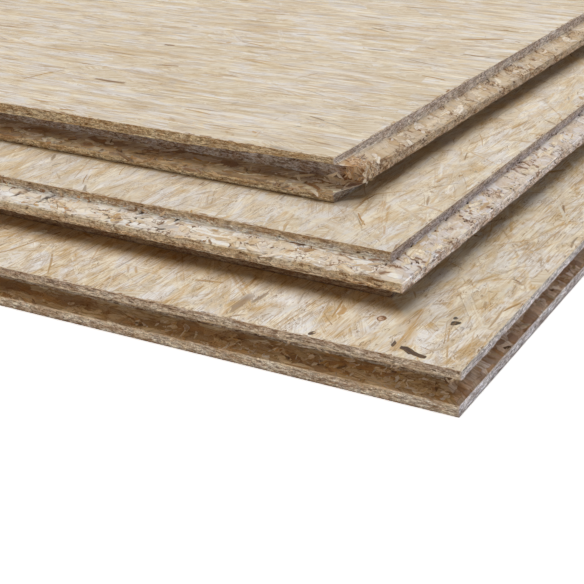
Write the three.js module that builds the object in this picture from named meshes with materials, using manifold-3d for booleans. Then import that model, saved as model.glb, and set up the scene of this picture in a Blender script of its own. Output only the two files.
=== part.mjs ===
// Three oriented strand board (OSB) floor panels, lying flat in a stack whose near corner is stepped.
// All three are the same milled panel: tongues along one long and one short side, grooves along the
// other two. The middle one is turned half round, and the top one is turned over.
// Millimetres, +Z up, +X along the length of the bottom panel, origin in the middle of the stack's base.
import * as THREE from 'three';
import { mergeVertices } from 'three/addons/utils/BufferGeometryUtils.js';
import Module from 'manifold-3d';

const wasm = await Module();
wasm.setup();

// Panel. Length and width are those of the laid face, from shoulder to shoulder, without the tongues.
const FACE_LENGTH = 2050;
const FACE_WIDTH = 675;
const THICKNESS = 22;

// Groove. The lip under the laid face is the thinner one, and the lip at the back stands back a little,
// so that the joint closes on the laid face first. Both lips are measured at their own edge.
const FACE_LIP = 4.2;
const BACK_LIP = 5.4;
const BACK_LIP_SETBACK = 1.2;
const GROOVE_DEPTH = 12.5;
const FLANK_SLOPE = THREE.MathUtils.degToRad(17);

// Tongue. Its flanks run parallel to the groove's, a clearance away.
const TONGUE_LENGTH = 11;
const FLANK_CLEARANCE = 0.4;
const NOSE_RADIUS = 1.3;
const NOSE_ARC_STEPS = 5;

// Stack. Each panel's near corner is set in from the near corner of the panel below, and each is turned
// a little about that corner, as loosely stacked panels are.
const MIDDLE_STEP = new THREE.Vector2(48.4, 54.2);
const MIDDLE_TURN = THREE.MathUtils.degToRad(-1.23);
const TOP_STEP = new THREE.Vector2(40.2, 51.6);
const TOP_TURN = THREE.MathUtils.degToRad(-1.05);

const HALF_TURN = Math.PI;

// Edge outlines run from the back of the panel up to its laid face. x is the way out of the panel,
// measured from the shoulder, and y is the height above the back.

const flankRise = (run) => run * Math.tan(FLANK_SLOPE);

function grooveOutline() {
  const faceLipEdge = THICKNESS - FACE_LIP;
  return [
    new THREE.Vector2(-BACK_LIP_SETBACK, 0),
    new THREE.Vector2(-BACK_LIP_SETBACK, BACK_LIP),
    new THREE.Vector2(-GROOVE_DEPTH, BACK_LIP + flankRise(GROOVE_DEPTH - BACK_LIP_SETBACK)),
    new THREE.Vector2(-GROOVE_DEPTH, faceLipEdge - flankRise(GROOVE_DEPTH)),
    new THREE.Vector2(0, faceLipEdge),
    new THREE.Vector2(0, THICKNESS),
  ];
}

// One rounded corner of the tongue's nose, an arc that touches the flank and the flat nose. flankEnd is
// the height at which the flank would meet the nose, and side is 1 for the upper flank, -1 for the lower.
function noseCorner(flankEnd, side) {
  const flankNormal = Math.PI / 2 - FLANK_SLOPE;
  const centreY = flankEnd - side * NOSE_RADIUS * Math.tan(flankNormal / 2);
  const [from, to] = side > 0 ? [0, flankNormal] : [-flankNormal, 0];
  const arc = new THREE.Path();
  arc.absarc(TONGUE_LENGTH - NOSE_RADIUS, centreY, NOSE_RADIUS, from, to, false);
  return arc.getPoints(NOSE_ARC_STEPS);
}

function tongueOutline() {
  const gap = FLANK_CLEARANCE / Math.cos(FLANK_SLOPE);
  const rootBottom = BACK_LIP - flankRise(BACK_LIP_SETBACK) + gap;
  const rootTop = THICKNESS - FACE_LIP - gap;
  return [
    new THREE.Vector2(0, 0),
    new THREE.Vector2(0, rootBottom),
    ...noseCorner(rootBottom + flankRise(TONGUE_LENGTH), -1),
    ...noseCorner(rootTop - flankRise(TONGUE_LENGTH), 1),
    new THREE.Vector2(0, rootTop),
    new THREE.Vector2(0, THICKNESS),
  ];
}

// A cross-section with a groove on its near side and a tongue on its far side, centred on the face.
function jointedSection(span) {
  const far = tongueOutline().map((p) => new THREE.Vector2(span / 2 + p.x, p.y));
  const near = grooveOutline().map((p) => new THREE.Vector2(-span / 2 - p.x, p.y));
  return new THREE.Shape([...far, ...near.reverse()]);
}

// The section carried past both ends of a run, so that the crossing run trims it.
function milledRun(span, run) {
  const length = run + 4 * TONGUE_LENGTH;
  const geometry = new THREE.ExtrudeGeometry(jointedSection(span), { depth: length, bevelEnabled: false });
  return geometry.translate(0, 0, -length / 2);
}

function toSolid(geometry) {
  const bare = new THREE.BufferGeometry().setAttribute('position', geometry.getAttribute('position'));
  const merged = mergeVertices(geometry.index ? bare.setIndex(geometry.index) : bare);
  return new wasm.Manifold(
    new wasm.Mesh({
      numProp: 3,
      vertProperties: merged.getAttribute('position').array,
      triVerts: new Uint32Array(merged.index.array),
    }),
  );
}

function toGeometry(solid) {
  const mesh = solid.getMesh();
  const geometry = new THREE.BufferGeometry();
  geometry.setAttribute('position', new THREE.BufferAttribute(mesh.vertProperties, mesh.numProp));
  geometry.setIndex(new THREE.BufferAttribute(mesh.triVerts, 1));
  geometry.computeVertexNormals();
  return geometry;
}

// The panel is what two passes of the milling line leave: the section of its long sides, running along
// X, and the section of its short sides, running along Y. The cutters run through at each corner, so
// two grooves meet open, two tongues meet in a mitre, and a tongue stops at a crossing groove's floor.
function panelGeometry() {
  const alongX = milledRun(FACE_WIDTH, FACE_LENGTH);
  alongX.rotateX(Math.PI / 2).rotateZ(Math.PI / 2);
  const alongY = milledRun(FACE_LENGTH, FACE_WIDTH);
  alongY.rotateX(Math.PI / 2);
  return toGeometry(toSolid(alongX).intersect(toSolid(alongY)));
}

const osb = new THREE.MeshStandardMaterial({ color: 0xd9c39a, roughness: 0.75, metalness: 0 });
const panel = panelGeometry();

// A panel in a group of its own, whose origin is the panel's near corner.
function laidPanel(name, level, corner, turn) {
  const mesh = new THREE.Mesh(panel, osb);
  mesh.name = name;
  mesh.position.set(FACE_LENGTH / 2, FACE_WIDTH / 2, 0);
  const seat = new THREE.Group();
  seat.position.set(corner.x, corner.y, level * THICKNESS);
  seat.rotation.z = turn;
  seat.add(mesh);
  return { seat, mesh };
}

const bottom = laidPanel('bottom_panel', 0, new THREE.Vector2(0, 0), 0);

const middle = laidPanel('middle_panel', 1, MIDDLE_STEP, MIDDLE_TURN);
middle.mesh.rotation.z = HALF_TURN;

const topCorner = TOP_STEP.clone().rotateAround(new THREE.Vector2(0, 0), MIDDLE_TURN).add(MIDDLE_STEP);
const top = laidPanel('top_panel', 2, topCorner, MIDDLE_TURN + TOP_TURN);
top.mesh.rotation.x = HALF_TURN;
top.mesh.position.z = THICKNESS;

const stack = new THREE.Group();
stack.add(bottom.seat, middle.seat, top.seat);
stack.updateMatrixWorld(true);
const middleOfStack = new THREE.Box3().setFromObject(stack, true).getCenter(new THREE.Vector3());
stack.position.set(-middleOfStack.x, -middleOfStack.y, 0);

const part = new THREE.Group();
part.add(stack);

export default part;
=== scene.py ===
"""Three tongue-and-groove strand boards lying in a stepped stack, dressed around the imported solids.

Every board is a milled body with its own rough edge, faces of pressed strands, and loose flakes where
the cutters tore the wood. Lengths in this file are millimetres until a mesh is made, which is in metres.
"""

import logging
import math
from dataclasses import dataclass, field
from enum import Enum
from itertools import product
from typing import Iterable, Optional, Sequence

import bpy
import numpy as np
from mathutils import Matrix, Vector

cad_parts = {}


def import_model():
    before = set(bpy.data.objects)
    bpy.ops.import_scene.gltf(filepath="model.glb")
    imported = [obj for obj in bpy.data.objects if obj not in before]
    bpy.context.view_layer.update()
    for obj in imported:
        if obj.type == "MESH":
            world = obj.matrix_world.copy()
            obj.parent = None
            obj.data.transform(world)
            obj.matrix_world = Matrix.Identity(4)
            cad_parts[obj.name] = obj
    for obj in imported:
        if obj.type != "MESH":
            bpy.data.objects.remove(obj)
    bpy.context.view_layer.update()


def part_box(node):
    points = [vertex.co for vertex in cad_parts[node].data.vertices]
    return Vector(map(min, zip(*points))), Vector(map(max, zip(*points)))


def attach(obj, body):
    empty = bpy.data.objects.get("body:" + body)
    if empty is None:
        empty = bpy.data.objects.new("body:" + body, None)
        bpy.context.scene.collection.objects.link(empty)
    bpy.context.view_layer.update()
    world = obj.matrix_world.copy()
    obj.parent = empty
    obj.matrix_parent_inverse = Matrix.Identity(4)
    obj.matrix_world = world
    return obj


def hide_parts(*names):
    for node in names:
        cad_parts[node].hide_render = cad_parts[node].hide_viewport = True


Array = np.ndarray
Colour = tuple[float, float, float]

LOG = logging.getLogger("board_stack")
METRE = 1000.0
BODY = "root"


# ---------------------------------------------------------------- numbers and noise


def shade(red: int, green: int, blue: int) -> Colour:
    """A display colour of 0 to 255 as the linear numbers that shaders take.

    Args:
        red, green, blue: the display colour.

    Returns:
        Three linear numbers.
    """
    def linear(value: int) -> float:
        """The sRGB curve undone: a straight part near black, then a power of 2.4."""
        part = value / 255
        return part / 12.92 if part <= 0.04045 else ((part + 0.055) / 1.055) ** 2.4

    return linear(red), linear(green), linear(blue)


def scatter(cells: Array, seed: int) -> Array:
    """Even random numbers for whole-number cells: each coordinate times a large odd number, stirred.

    Args:
        cells: whole numbers, with the coordinates on the last axis.
        seed: picks another set of numbers.

    Returns:
        Numbers from 0 to 1, without the last axis.
    """
    mixed = np.full(cells.shape[:-1], (seed * 2654435761) & 0xFFFFFFFF, np.uint32)
    for axis, odd in zip(range(cells.shape[-1]), (2246822519, 3266489917, 668265263)):
        mixed = (mixed ^ (cells[..., axis].astype(np.int64) & 0xFFFFFFFF).astype(np.uint32)) * np.uint32(odd)
        mixed ^= mixed >> np.uint32(15)
    mixed *= np.uint32(2246822519)
    mixed ^= mixed >> np.uint32(13)
    mixed *= np.uint32(3266489917)
    mixed ^= mixed >> np.uint32(16)
    return mixed / 4294967296.0


def soft_noise(points: Array, seed: int) -> Array:
    """Smooth noise: random numbers on a lattice, blended between lattice points with 3t2 - 2t3.

    Args:
        points: places, in lattice steps, with the coordinates on the last axis.
        seed: picks another noise.

    Returns:
        Numbers from -1 to 1.
    """
    base = np.floor(points)
    part = points - base
    part = part * part * (3 - 2 * part)
    total = np.zeros(points.shape[:-1])
    for corner in product((0, 1), repeat=points.shape[-1]):
        weight = np.prod(np.where(np.array(corner, bool), part, 1 - part), axis=-1)
        total += weight * scatter(base + np.array(corner), seed)
    return total * 2 - 1


def rough_noise(points: Array, seed: int, octaves: int = 3) -> Array:
    """Soft noise in octaves, each twice as fine and half as strong as the last, back in -1 to 1."""
    parts = [soft_noise(points * 2.0**k, seed + 17 * k) / 2.0**k for k in range(octaves)]
    return sum(parts) / (2 - 2.0 ** (1 - octaves))


def nearest_cell(points: Array, seed: int) -> tuple[Array, Array, Array]:
    """Cells of a jittered lattice: each place belongs to the nearest of the points, one to a square.

    Args:
        points: places in cell widths, two coordinates on the last axis.
        seed: picks another set of cells.

    Returns:
        The distance to the cell's point, how much further the next point is, and the cell's own number.
    """
    base = np.floor(points)
    first = np.full(points.shape[:-1], 9.0)
    second = first.copy()
    own = np.zeros_like(first)
    for step in product((-1, 0, 1), repeat=2):
        cell = base + np.array(step)
        spot = cell + np.stack([scatter(cell, seed), scatter(cell, seed + 1)], -1)
        far = np.linalg.norm(points - spot, axis=-1)
        closer = far < first
        second = np.where(closer, first, np.minimum(second, far))
        own = np.where(closer, scatter(cell, seed + 2), own)
        first = np.where(closer, far, first)
    return first, second - first, own


def ease(value: Array, low: float, high: float) -> Array:
    """0 below low and 1 above high, with a smooth S between them."""
    part = np.clip((value - low) / (high - low), 0, 1)
    return part * part * (3 - 2 * part)


# ---------------------------------------------------------------- the milled panel


class EdgeKind(Enum):
    """What the cutter left along a side of a panel."""

    GROOVE = "groove"
    TONGUE = "tongue"


class FaceSide(Enum):
    """Which of a panel's two faces is meant, as it lies in the stack."""

    UPPER = 1
    LOWER = -1


@dataclass(frozen=True)
class JointProfile:
    """The milled outline: how far a panel reaches past its laid face's edge at each height above its back."""

    thickness: float = 22.0
    face_lip: float = 4.2
    back_lip: float = 5.4
    back_setback: float = 1.2
    groove_depth: float = 12.5
    flank_slope: float = math.radians(17.0)
    tongue_length: float = 11.0
    flank_clearance: float = 0.4
    nose_radius: float = 1.3

    @property
    def groove_top(self) -> float:
        """Height of the face lip's lower arris."""
        return self.thickness - self.face_lip

    def reach(self, kind: EdgeKind, height: Array) -> Array:
        """Reach past the shoulder line, by height.

        A groove's outline is the outermost of its lower flank, its upper flank and its floor. A tongue's
        is the innermost of its two flanks and its flat nose, whose corners are arcs that touch both.

        Args:
            kind: groove or tongue.
            height: heights above the panel's back.

        Returns:
            The reach, below 0 inside the shoulder line.
        """
        slope = math.tan(self.flank_slope)
        if kind is EdgeKind.GROOVE:
            lower = -self.back_setback - np.maximum(height - self.back_lip, 0) / slope
            upper = -np.maximum(self.groove_top - height, 0) / slope
            return np.maximum(np.maximum(lower, upper), -self.groove_depth)
        gap = self.flank_clearance / math.cos(self.flank_slope)
        root_low = self.back_lip - self.back_setback * slope + gap
        root_high = self.groove_top - gap
        turn = self.nose_radius * math.tan((math.pi / 2 - self.flank_slope) / 2)
        low = root_low + self.tongue_length * slope + turn
        high = root_high - self.tongue_length * slope - turn
        flank = np.minimum(height - root_low, root_high - height) / slope
        past = np.maximum(low - height, height - high)
        arc = self.tongue_length - self.nose_radius + np.sqrt(
            np.maximum(self.nose_radius**2 - np.maximum(past, 0) ** 2, 0))
        on_flank = past > self.nose_radius * math.cos(self.flank_slope)
        return np.maximum(np.where(on_flank, flank, arc), 0)

    def stations(self) -> Array:
        """Heights for the rows of a body: close together on the flanks, which lean far out."""
        lips = [0, 0.12, 0.5, 1.1, 1.9, 2.8, 3.7, 4.5, 5.1, 5.4, 5.46]
        lower_flank = np.linspace(5.8, 8.5, 9)
        nose = [8.62, 8.85, 9.3, 9.8, 10.7, 11.6, 12.5, 13.06, 13.5, 13.9, 13.98, 14.15]
        upper_flank = np.linspace(14.5, 17.05, 9)
        face_lip = [17.35, 17.39, 17.8, 18.0, 18.7, 19.5, 20.3, 21.0, 21.5, 21.82, 21.95]
        return np.concatenate([lips, lower_flank, nose, upper_flank, face_lip])


@dataclass(frozen=True)
class Panel:
    """One board of the stack. Its own frame has the near corner at 0, X along the board and Z up."""

    name: str
    node: str
    corner: tuple[float, float]
    turn: float
    level: int
    front: EdgeKind
    right: EdgeKind
    back: EdgeKind
    left: EdgeKind
    turned_over: bool = False
    lift: float = 0.0
    length: float = 2050.0
    width: float = 675.0
    profile: JointProfile = field(default_factory=JointProfile)

    @property
    def sides(self) -> list[tuple[EdgeKind, Array, Array, float]]:
        """Kind, start, direction and length of each side, round the board from the front."""
        size_x, size_y = self.length, self.width
        return [
            (self.front, np.array([0, 0.0]), np.array([1, 0.0]), size_x),
            (self.right, np.array([size_x, 0]), np.array([0, 1.0]), size_y),
            (self.back, np.array([size_x, size_y]), np.array([-1, 0.0]), size_x),
            (self.left, np.array([0, size_y]), np.array([0, -1.0]), size_y),
        ]

    def reach(self, kind: EdgeKind, height: Array) -> Array:
        """The profile's reach at heights above the underside, upside down for a board turned over."""
        return self.profile.reach(kind, self.profile.thickness - height if self.turned_over else height)

    def face_corners(self, height: float, inset: float) -> tuple[Array, Array]:
        """The lowest and highest corner of the board at that height, each brought in by the inset."""
        front, right, back, left = (float(self.reach(side[0], np.array(height))) for side in self.sides)
        return (np.array([inset - left, inset - front]),
                np.array([self.length + right - inset, self.width + back - inset]))

    def worn_up(self, points: Array) -> Array:
        """Points raised where the upper lip wears thin towards the near corner.

        The rise is the lift, times a smooth S down along each near side, times a share by height: it
        climbs from 0 to 1 over the groove's floor and falls back to 0 from the lip's arris to the face.

        Args:
            points: places in the board's own frame.

        Returns:
            The same places, raised.
        """
        if not self.lift:
            return points
        x, y, z = points[..., 0], points[..., 1], points[..., 2]
        arris = self.profile.thickness - self.profile.back_lip
        near = (1 - ease(y, 0, 100)) * (1 - ease(x, -10, 75))
        share = ease(z, 8, 13.1) * np.clip(1 - (z - arris) / self.profile.back_lip, 0, 1)
        return np.stack([x, y, z + self.lift * near * share], -1)

    def place(self, points: Array) -> Array:
        """Points of the board's own frame in the shared frame: turned about the near corner, then moved."""
        cos, sin = math.cos(self.turn), math.sin(self.turn)
        x, y, z = points[..., 0], points[..., 1], points[..., 2]
        return np.stack([self.corner[0] + cos * x - sin * y, self.corner[1] + sin * x + cos * y,
                         z + self.level * self.profile.thickness], -1)

    def corner_of_next(self, step: tuple[float, float]) -> tuple[float, float]:
        """Where the board above has its near corner, that step along and across this board."""
        spot = self.place(np.array([*step, 0.0]))
        return float(spot[0]), float(spot[1])


# ---------------------------------------------------------------- meshes


@dataclass
class Shape:
    """Points and faces of a piece before it becomes a mesh, with what its finish reads at each point."""

    points: Array
    quads: Array
    grain: Array
    tint: Array
    marks: Array
    polygons: list[list[int]] = field(default_factory=list)

    @staticmethod
    def joined(shapes: Sequence["Shape"]) -> "Shape":
        """Several shapes as one, each one's faces moved on past the points before it."""
        starts = np.cumsum([0] + [len(s.points) for s in shapes])
        polygons = [[i + int(at) for i in p] for s, at in zip(shapes, starts) for p in s.polygons]
        return Shape(np.concatenate([s.points for s in shapes]),
                     np.concatenate([s.quads + at for s, at in zip(shapes, starts)]),
                     np.concatenate([s.grain for s in shapes]), np.concatenate([s.tint for s in shapes]),
                     np.concatenate([s.marks for s in shapes]), polygons)

    def make(self, name: str, finish: bpy.types.Material, sharp: Optional[float] = None) -> bpy.types.Object:
        """The piece in the scene: mesh in metres, with its finish, riding on the stack.

        Args:
            name: the piece's name.
            finish: its material.
            sharp: angle in radians past which an edge is left sharp, or None for smooth all over.

        Returns:
            The new object.
        """
        mesh = bpy.data.meshes.new(name)
        mesh.from_pydata((self.points / METRE).tolist(), [], self.quads.tolist() + self.polygons)
        corners = np.empty(len(mesh.loops), np.int64)
        mesh.loops.foreach_get("vertex_index", corners)
        mesh.uv_layers.new(name="grain").data.foreach_set("uv", (self.grain / METRE)[corners].ravel())
        for label, values in (("tint", self.tint), ("marks", self.marks)):
            layer = mesh.color_attributes.new(name=label, type="FLOAT_COLOR", domain="POINT")
            layer.data.foreach_set("color", values.astype(np.float32).ravel())
        mesh.polygons.foreach_set("use_smooth", np.ones(len(mesh.polygons), bool))
        if sharp is not None:
            mesh.set_sharp_from_angle(angle=sharp)
        mesh.materials.append(finish)
        mesh.update()
        piece = bpy.data.objects.new(name, mesh)
        bpy.context.scene.collection.objects.link(piece)
        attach(piece, BODY)
        mesh.calc_loop_triangles()
        LOG.info("%s: %d triangles", name, len(mesh.loop_triangles))
        return piece


def grid_quads(rows: int, columns: int, closed: bool = False) -> Array:
    """Faces of a grid numbered row by row; closed joins the last column to the first."""
    last = columns if closed else columns - 1
    row, column = np.meshgrid(np.arange(rows - 1), np.arange(last), indexing="ij")
    here = (row * columns + column).ravel()
    beside = (row * columns + (column + 1) % columns).ravel()
    return np.stack([here, beside, beside + columns, here + columns], -1)


@dataclass(frozen=True)
class EdgeLook:
    """One side's tints for each part of it from the top down, and the height of the tongue's root.

    The tints are mostly painted light and shade: each makes its part lighter or darker, warmer or cooler, by the
    light that falls there, and partly they set the wood's own colour. Head and foot are the upper and lower part
    of the upper lip, and sole is a groove's lower lip. Deep is a groove's flanks or the hollow under a tongue, and
    floor is the groove's floor. Crease is painted shade in a groove's lower inner corner. Flank and nose are the
    tongue's. The root is the height over which the lip above a tongue runs out into it. One number, from 0 to 1,
    turns the lips' colour grey before their tints, and another is what is left of the colour at the board's
    lowest edge, a painted contact shadow.
    """

    head: Colour = (0.90, 0.82, 0.72)
    foot: Colour = (0.90, 0.82, 0.72)
    sole: Colour = (0.90, 0.82, 0.72)
    deep: Colour = (0.80, 0.72, 0.64)
    floor: Colour = (0.80, 0.74, 0.68)
    crease: Colour = (1.0, 1.0, 1.0)
    flank: Colour = (1.0, 1.0, 1.0)
    nose: Colour = (0.95, 0.88, 0.76)
    root: float = 1.2
    greyed: float = 0.0
    contact_shade: float = 0.72


@dataclass
class BoardBody:
    """The milled body of a board: rows of the profile carried right round it, torn and pitted by noise."""

    panel: Panel
    seed: int
    fine: float = 0.95
    coarse: float = 12.0
    fine_run: float = 300.0
    growth: float = 0.035
    corner_blend: float = 60.0
    inset: float = 1.6
    face_depth: float = 0.18
    looks: Sequence[EdgeLook] = (EdgeLook(),) * 4
    nibble: float = 0.7
    frayed: Colour = (0.64, 0.45, 0.29)

    def stops(self, run: float, from_near: bool, to_near: bool) -> Array:
        """Places of the columns along one side, close together beside the near corner and wider far off.

        Args:
            run: the side's length.
            from_near: whether the side starts at the near corner.
            to_near: whether it ends there.

        Returns:
            Distances from the start, without the end itself, which the next side starts with.
        """
        steps = [0.0]
        while steps[-1] < run:
            past = max(steps[-1] - self.fine_run, 0)
            steps.append(steps[-1] + (min(self.fine + past * self.growth, self.coarse)
                                      if from_near or to_near else self.coarse))
        places = np.array(steps) * run / steps[-1]
        return (run - places[::-1])[:-1] if to_near else places[:-1]

    def skin(self) -> tuple[Array, Array, Array]:
        """The plain milled surface: out from each side by the profile's reach, and mitred at the corners.

        At each height a column stands on its side's line moved out by the reach. Near a corner the columns
        slide along by the crossing side's reach, so both sides meet in the line where their cuts cross.

        Returns:
            Points as rows by columns, how far along its side each column is, and each column's side.
        """
        heights = self.panel.profile.stations()
        if self.panel.turned_over:
            heights = self.panel.profile.thickness - heights[::-1]
        sides = self.panel.sides
        columns, alongs, owners = [], [], []
        for i, (kind, start, way, run) in enumerate(sides):
            s = self.stops(run, i == 0, i == 3)[None, :]
            before, after = sides[i - 1][0], sides[(i + 1) % 4][0]
            out = np.array([way[1], -way[0]])
            reach = self.panel.reach(kind, heights)[:, None]
            slide = (self.panel.reach(after, heights)[:, None] * np.clip(1 - (run - s) / self.corner_blend, 0, 1)
                     - self.panel.reach(before, heights)[:, None] * np.clip(1 - s / self.corner_blend, 0, 1))
            flat = start + way * (s + slide)[..., None] + out * (reach + 0 * s)[..., None]
            columns.append(np.concatenate([flat, np.broadcast_to(heights[:, None, None], flat.shape[:2] + (1,))], -1))
            alongs.append(s[0])
            owners.append(np.full(s.shape[1], i))
        return np.concatenate(columns, 1), np.concatenate(alongs), np.concatenate(owners)

    @staticmethod
    def outward(points: Array) -> Array:
        """Unit normals of the skin: the way along it crossed with the way up it."""
        along = np.roll(points, -1, 1) - np.roll(points, 1, 1)
        up = np.gradient(points, axis=0)
        normal = np.cross(along, up)
        return normal / np.maximum(np.linalg.norm(normal, axis=-1, keepdims=True), 1e-9)

    def torn(self, points: Array, normal: Array) -> tuple[Array, Array]:
        """How far the cutter tore the wood in or out at each point, and how the finish should show it.

        The wood is layers of strands about 0.75 thick that rise and fall. Where a cut runs nearly along
        the layers it steps from one to the next, so the tear is a saw-tooth of the height within a
        layer. Each strand is a long cell of its layer, torn deeper or less deep as a whole. Pits are a
        few of the cells of a fine lattice, deepest in their middle.

        Args:
            points: the skin's points in the panel's frame.
            normal: its normals.

        Returns:
            The tear along the normal, and the pit depth from 0 to 1.
        """
        wave = 1.3 * soft_noise(points / 34, self.seed) + 0.5 * soft_noise(points / 9, self.seed + 1)
        layer_at = (points[..., 2] + wave) / 0.75
        layer = np.floor(layer_at)
        within = layer_at - layer
        angle = scatter(layer[..., None], self.seed + 2) * math.pi
        x, y = points[..., 0] + layer * 41.7, points[..., 1] - layer * 23.9
        cell = np.stack([(x * np.cos(angle) + y * np.sin(angle)) / 26,
                         (y * np.cos(angle) - x * np.sin(angle)) / 4.2], -1)
        _, gap, own = nearest_cell(cell, self.seed + 3)
        flat = np.abs(normal[..., 2])
        open_wood = ease(flat, 0.25, 0.8)
        tear = open_wood * (0.22 * (within - 0.5) + 0.34 * (own - 0.5)) - 0.12 * (1 - ease(gap, 0, 0.25)) * open_wood
        tear = tear + 0.10 * rough_noise(points / 1.6, self.seed + 5)
        tear = tear + 0.16 * rough_noise(points / [7, 7, 2.5], self.seed + 6) * (1 - 0.4 * open_wood)
        lattice = np.stack([(points[..., 0] + points[..., 1]) / 4.2,
                            points[..., 2] / 1.7 + 0.1 * points[..., 1]], -1)
        near, _, lot = nearest_cell(lattice, self.seed + 7)
        cluster = soft_noise(points / [17, 17, 9], self.seed + 8)
        pit = (lot > 0.97 - 0.40 * np.maximum(cluster, 0)) * (1 - ease(near, 0.05, 0.42))
        near, _, lot = nearest_cell(points[..., :2] / [3.4, 2.4] + 0.2 * wave[..., None], self.seed + 9)
        group = soft_noise(points / [13, 13, 9], self.seed + 10)
        pit = np.maximum(pit, (lot > 0.995 - 0.40 * np.maximum(group - 0.25, 0)) * (1 - ease(near, 0.1, 0.5)) * open_wood)
        return tear, pit

    def tints(self, points: Array, owner: Array, upright: Array, nose: Array) -> Array:
        """Each point's tint: its side's painted light and shade, blended from part to part by height and reach.

        Args:
            points: the body's points in the panel's frame.
            owner: each column's side.
            upright: how far the surface stands upright, from 0 to 1.
            nose: how far it is a tongue's nose, from 0 to 1.

        Returns:
            Colours, with how far the colour is turned grey as the fourth number.
        """
        profile = self.panel.profile
        height = points[..., 2]
        grooved = np.array([side[0] is EdgeKind.GROOVE for side in self.panel.sides])[owner]
        low, high = profile.back_lip, profile.groove_top
        if self.panel.turned_over:
            low, high = profile.thickness - high, profile.thickness - low
        drift = 1.4 * rough_noise(points / [22, 22, 6], self.seed + 31)
        parts = {name: np.array([getattr(look, name) for look in self.looks])[owner]
                 for name in ("head", "foot", "sole", "deep", "floor", "crease", "flank", "nose")}

        def blend(under: Array, over: Array, share: Array) -> Array:
            """One colour over another."""
            return under + (over - under) * share[..., None]

        middle = (high + profile.thickness) / 2
        colour = blend(parts["foot"], parts["head"], ease(height + drift, middle - 0.8, middle + 0.8))
        colour = blend(colour, parts["sole"], (height < (low + high) / 2) * grooved)
        # Painted light on the nose: its lower part is made lighter than its upper part.
        lower_nose = 1 - ease(height, low + 4.2, low + 7.2)
        colour = blend(colour, parts["nose"] * (0.89 + 0.30 * lower_nose)[..., None], nose)
        colour = blend(parts["flank"], colour, upright)
        reach = np.where(grooved, self.panel.reach(EdgeKind.GROOVE, height), 0)
        # Painted shade: a groove's flanks and the wall under a tongue take the deep tint.
        deep = np.maximum(ease(-reach, 0.4, 2.4), ~grooved * (1 - ease(height, 4.6, 6.6)))
        colour = blend(colour, parts["deep"], deep)
        # Painted shade in a groove's lower inner corner.
        colour = blend(colour, colour * parts["crease"], ease(-reach, 1.5, 8.5) * (height < (low + high) / 2))
        # Painted shade on the groove's floor.
        colour = blend(colour, parts["floor"], ease(-reach, 9.5, 12.2))
        front, left = self.panel.front, self.panel.left
        if front is not left:
            ragged = 4 * rough_noise(points / [3, 3, 3], self.seed + 33)
            far = np.hypot(points[..., 0] - 13, points[..., 1] + 4) + ragged
            cut_end = ease(height, 6.6, 8.2) * (height < 16.4)
            colour = blend(colour, np.array(self.frayed), 0.9 * (1 - ease(far, 3, 11)) * cut_end)
        greyed = np.array([look.greyed for look in self.looks])[owner] * (1 - deep) * upright * (1 - nose)
        # Painted contact shadow: darker towards the board's underside, over its lowest 1.5 millimetres.
        contact_shade = np.array([look.contact_shade for look in self.looks])[owner]
        under = contact_shade + (1 - contact_shade) * ease(height, 0.3, 1.5)
        return np.append(colour * under[..., None], greyed[..., None], -1)

    def open_rims(self, height: Array, grooved: Array) -> Array:
        """How far the upright cut shows open wood: on a nose's upper half and along a groove's arrises."""
        profile = self.panel.profile
        low, high = profile.back_lip, profile.groove_top
        if self.panel.turned_over:
            low, high = profile.thickness - high, profile.thickness - low
        rim = np.maximum(1 - ease(low - height, 0.1, 1.3), 0) * (height <= low + 0.1)
        rim = np.maximum(rim, (1 - ease(height - high, 0.1, 1.0)) * (height >= high - 0.1) * 0.8)
        nose = ease(height, low + 3.4, low + 7.0) * (height < high)
        return np.where(grooved, rim, nose)

    def rooted(self, plain: Array, owner: Array) -> Array:
        """The skin with the lip above each tongue run out into it.

        Just above the tongue's root the wall stands out by a length that falls from its full value to
        nothing over the root's height, with a noise along the run for both.

        Args:
            plain: the skin's points.
            owner: each column's side.

        Returns:
            The points, moved out where the wall stood further in.
        """
        sides = self.panel.sides
        out = np.array([[way[1], -way[0]] for _, _, way, _ in sides])[owner]
        tongue = np.array([side[0] is EdgeKind.TONGUE for side in sides])[owner]
        tall = np.array([look.root for look in self.looks])[owner]
        profile = self.panel.profile
        root = self.panel.reach(EdgeKind.TONGUE, plain[..., 2])
        top = profile.thickness - profile.back_lip if self.panel.turned_over else profile.groove_top
        uneven = 0.75 + 0.55 * rough_noise(plain / [9, 9, 1e3], self.seed + 21)
        above = np.maximum(plain[..., 2] - top + 0.4, 0)
        stand = 0.9 * uneven * np.clip(1 - above / (tall * uneven + 0.4), 0, 1) ** 2
        stand = np.where(tongue & (plain[..., 2] > top - 0.4), np.maximum(stand - root, 0), 0)
        moved = plain.copy()
        moved[..., :2] += out * stand[..., None]
        return moved

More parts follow.
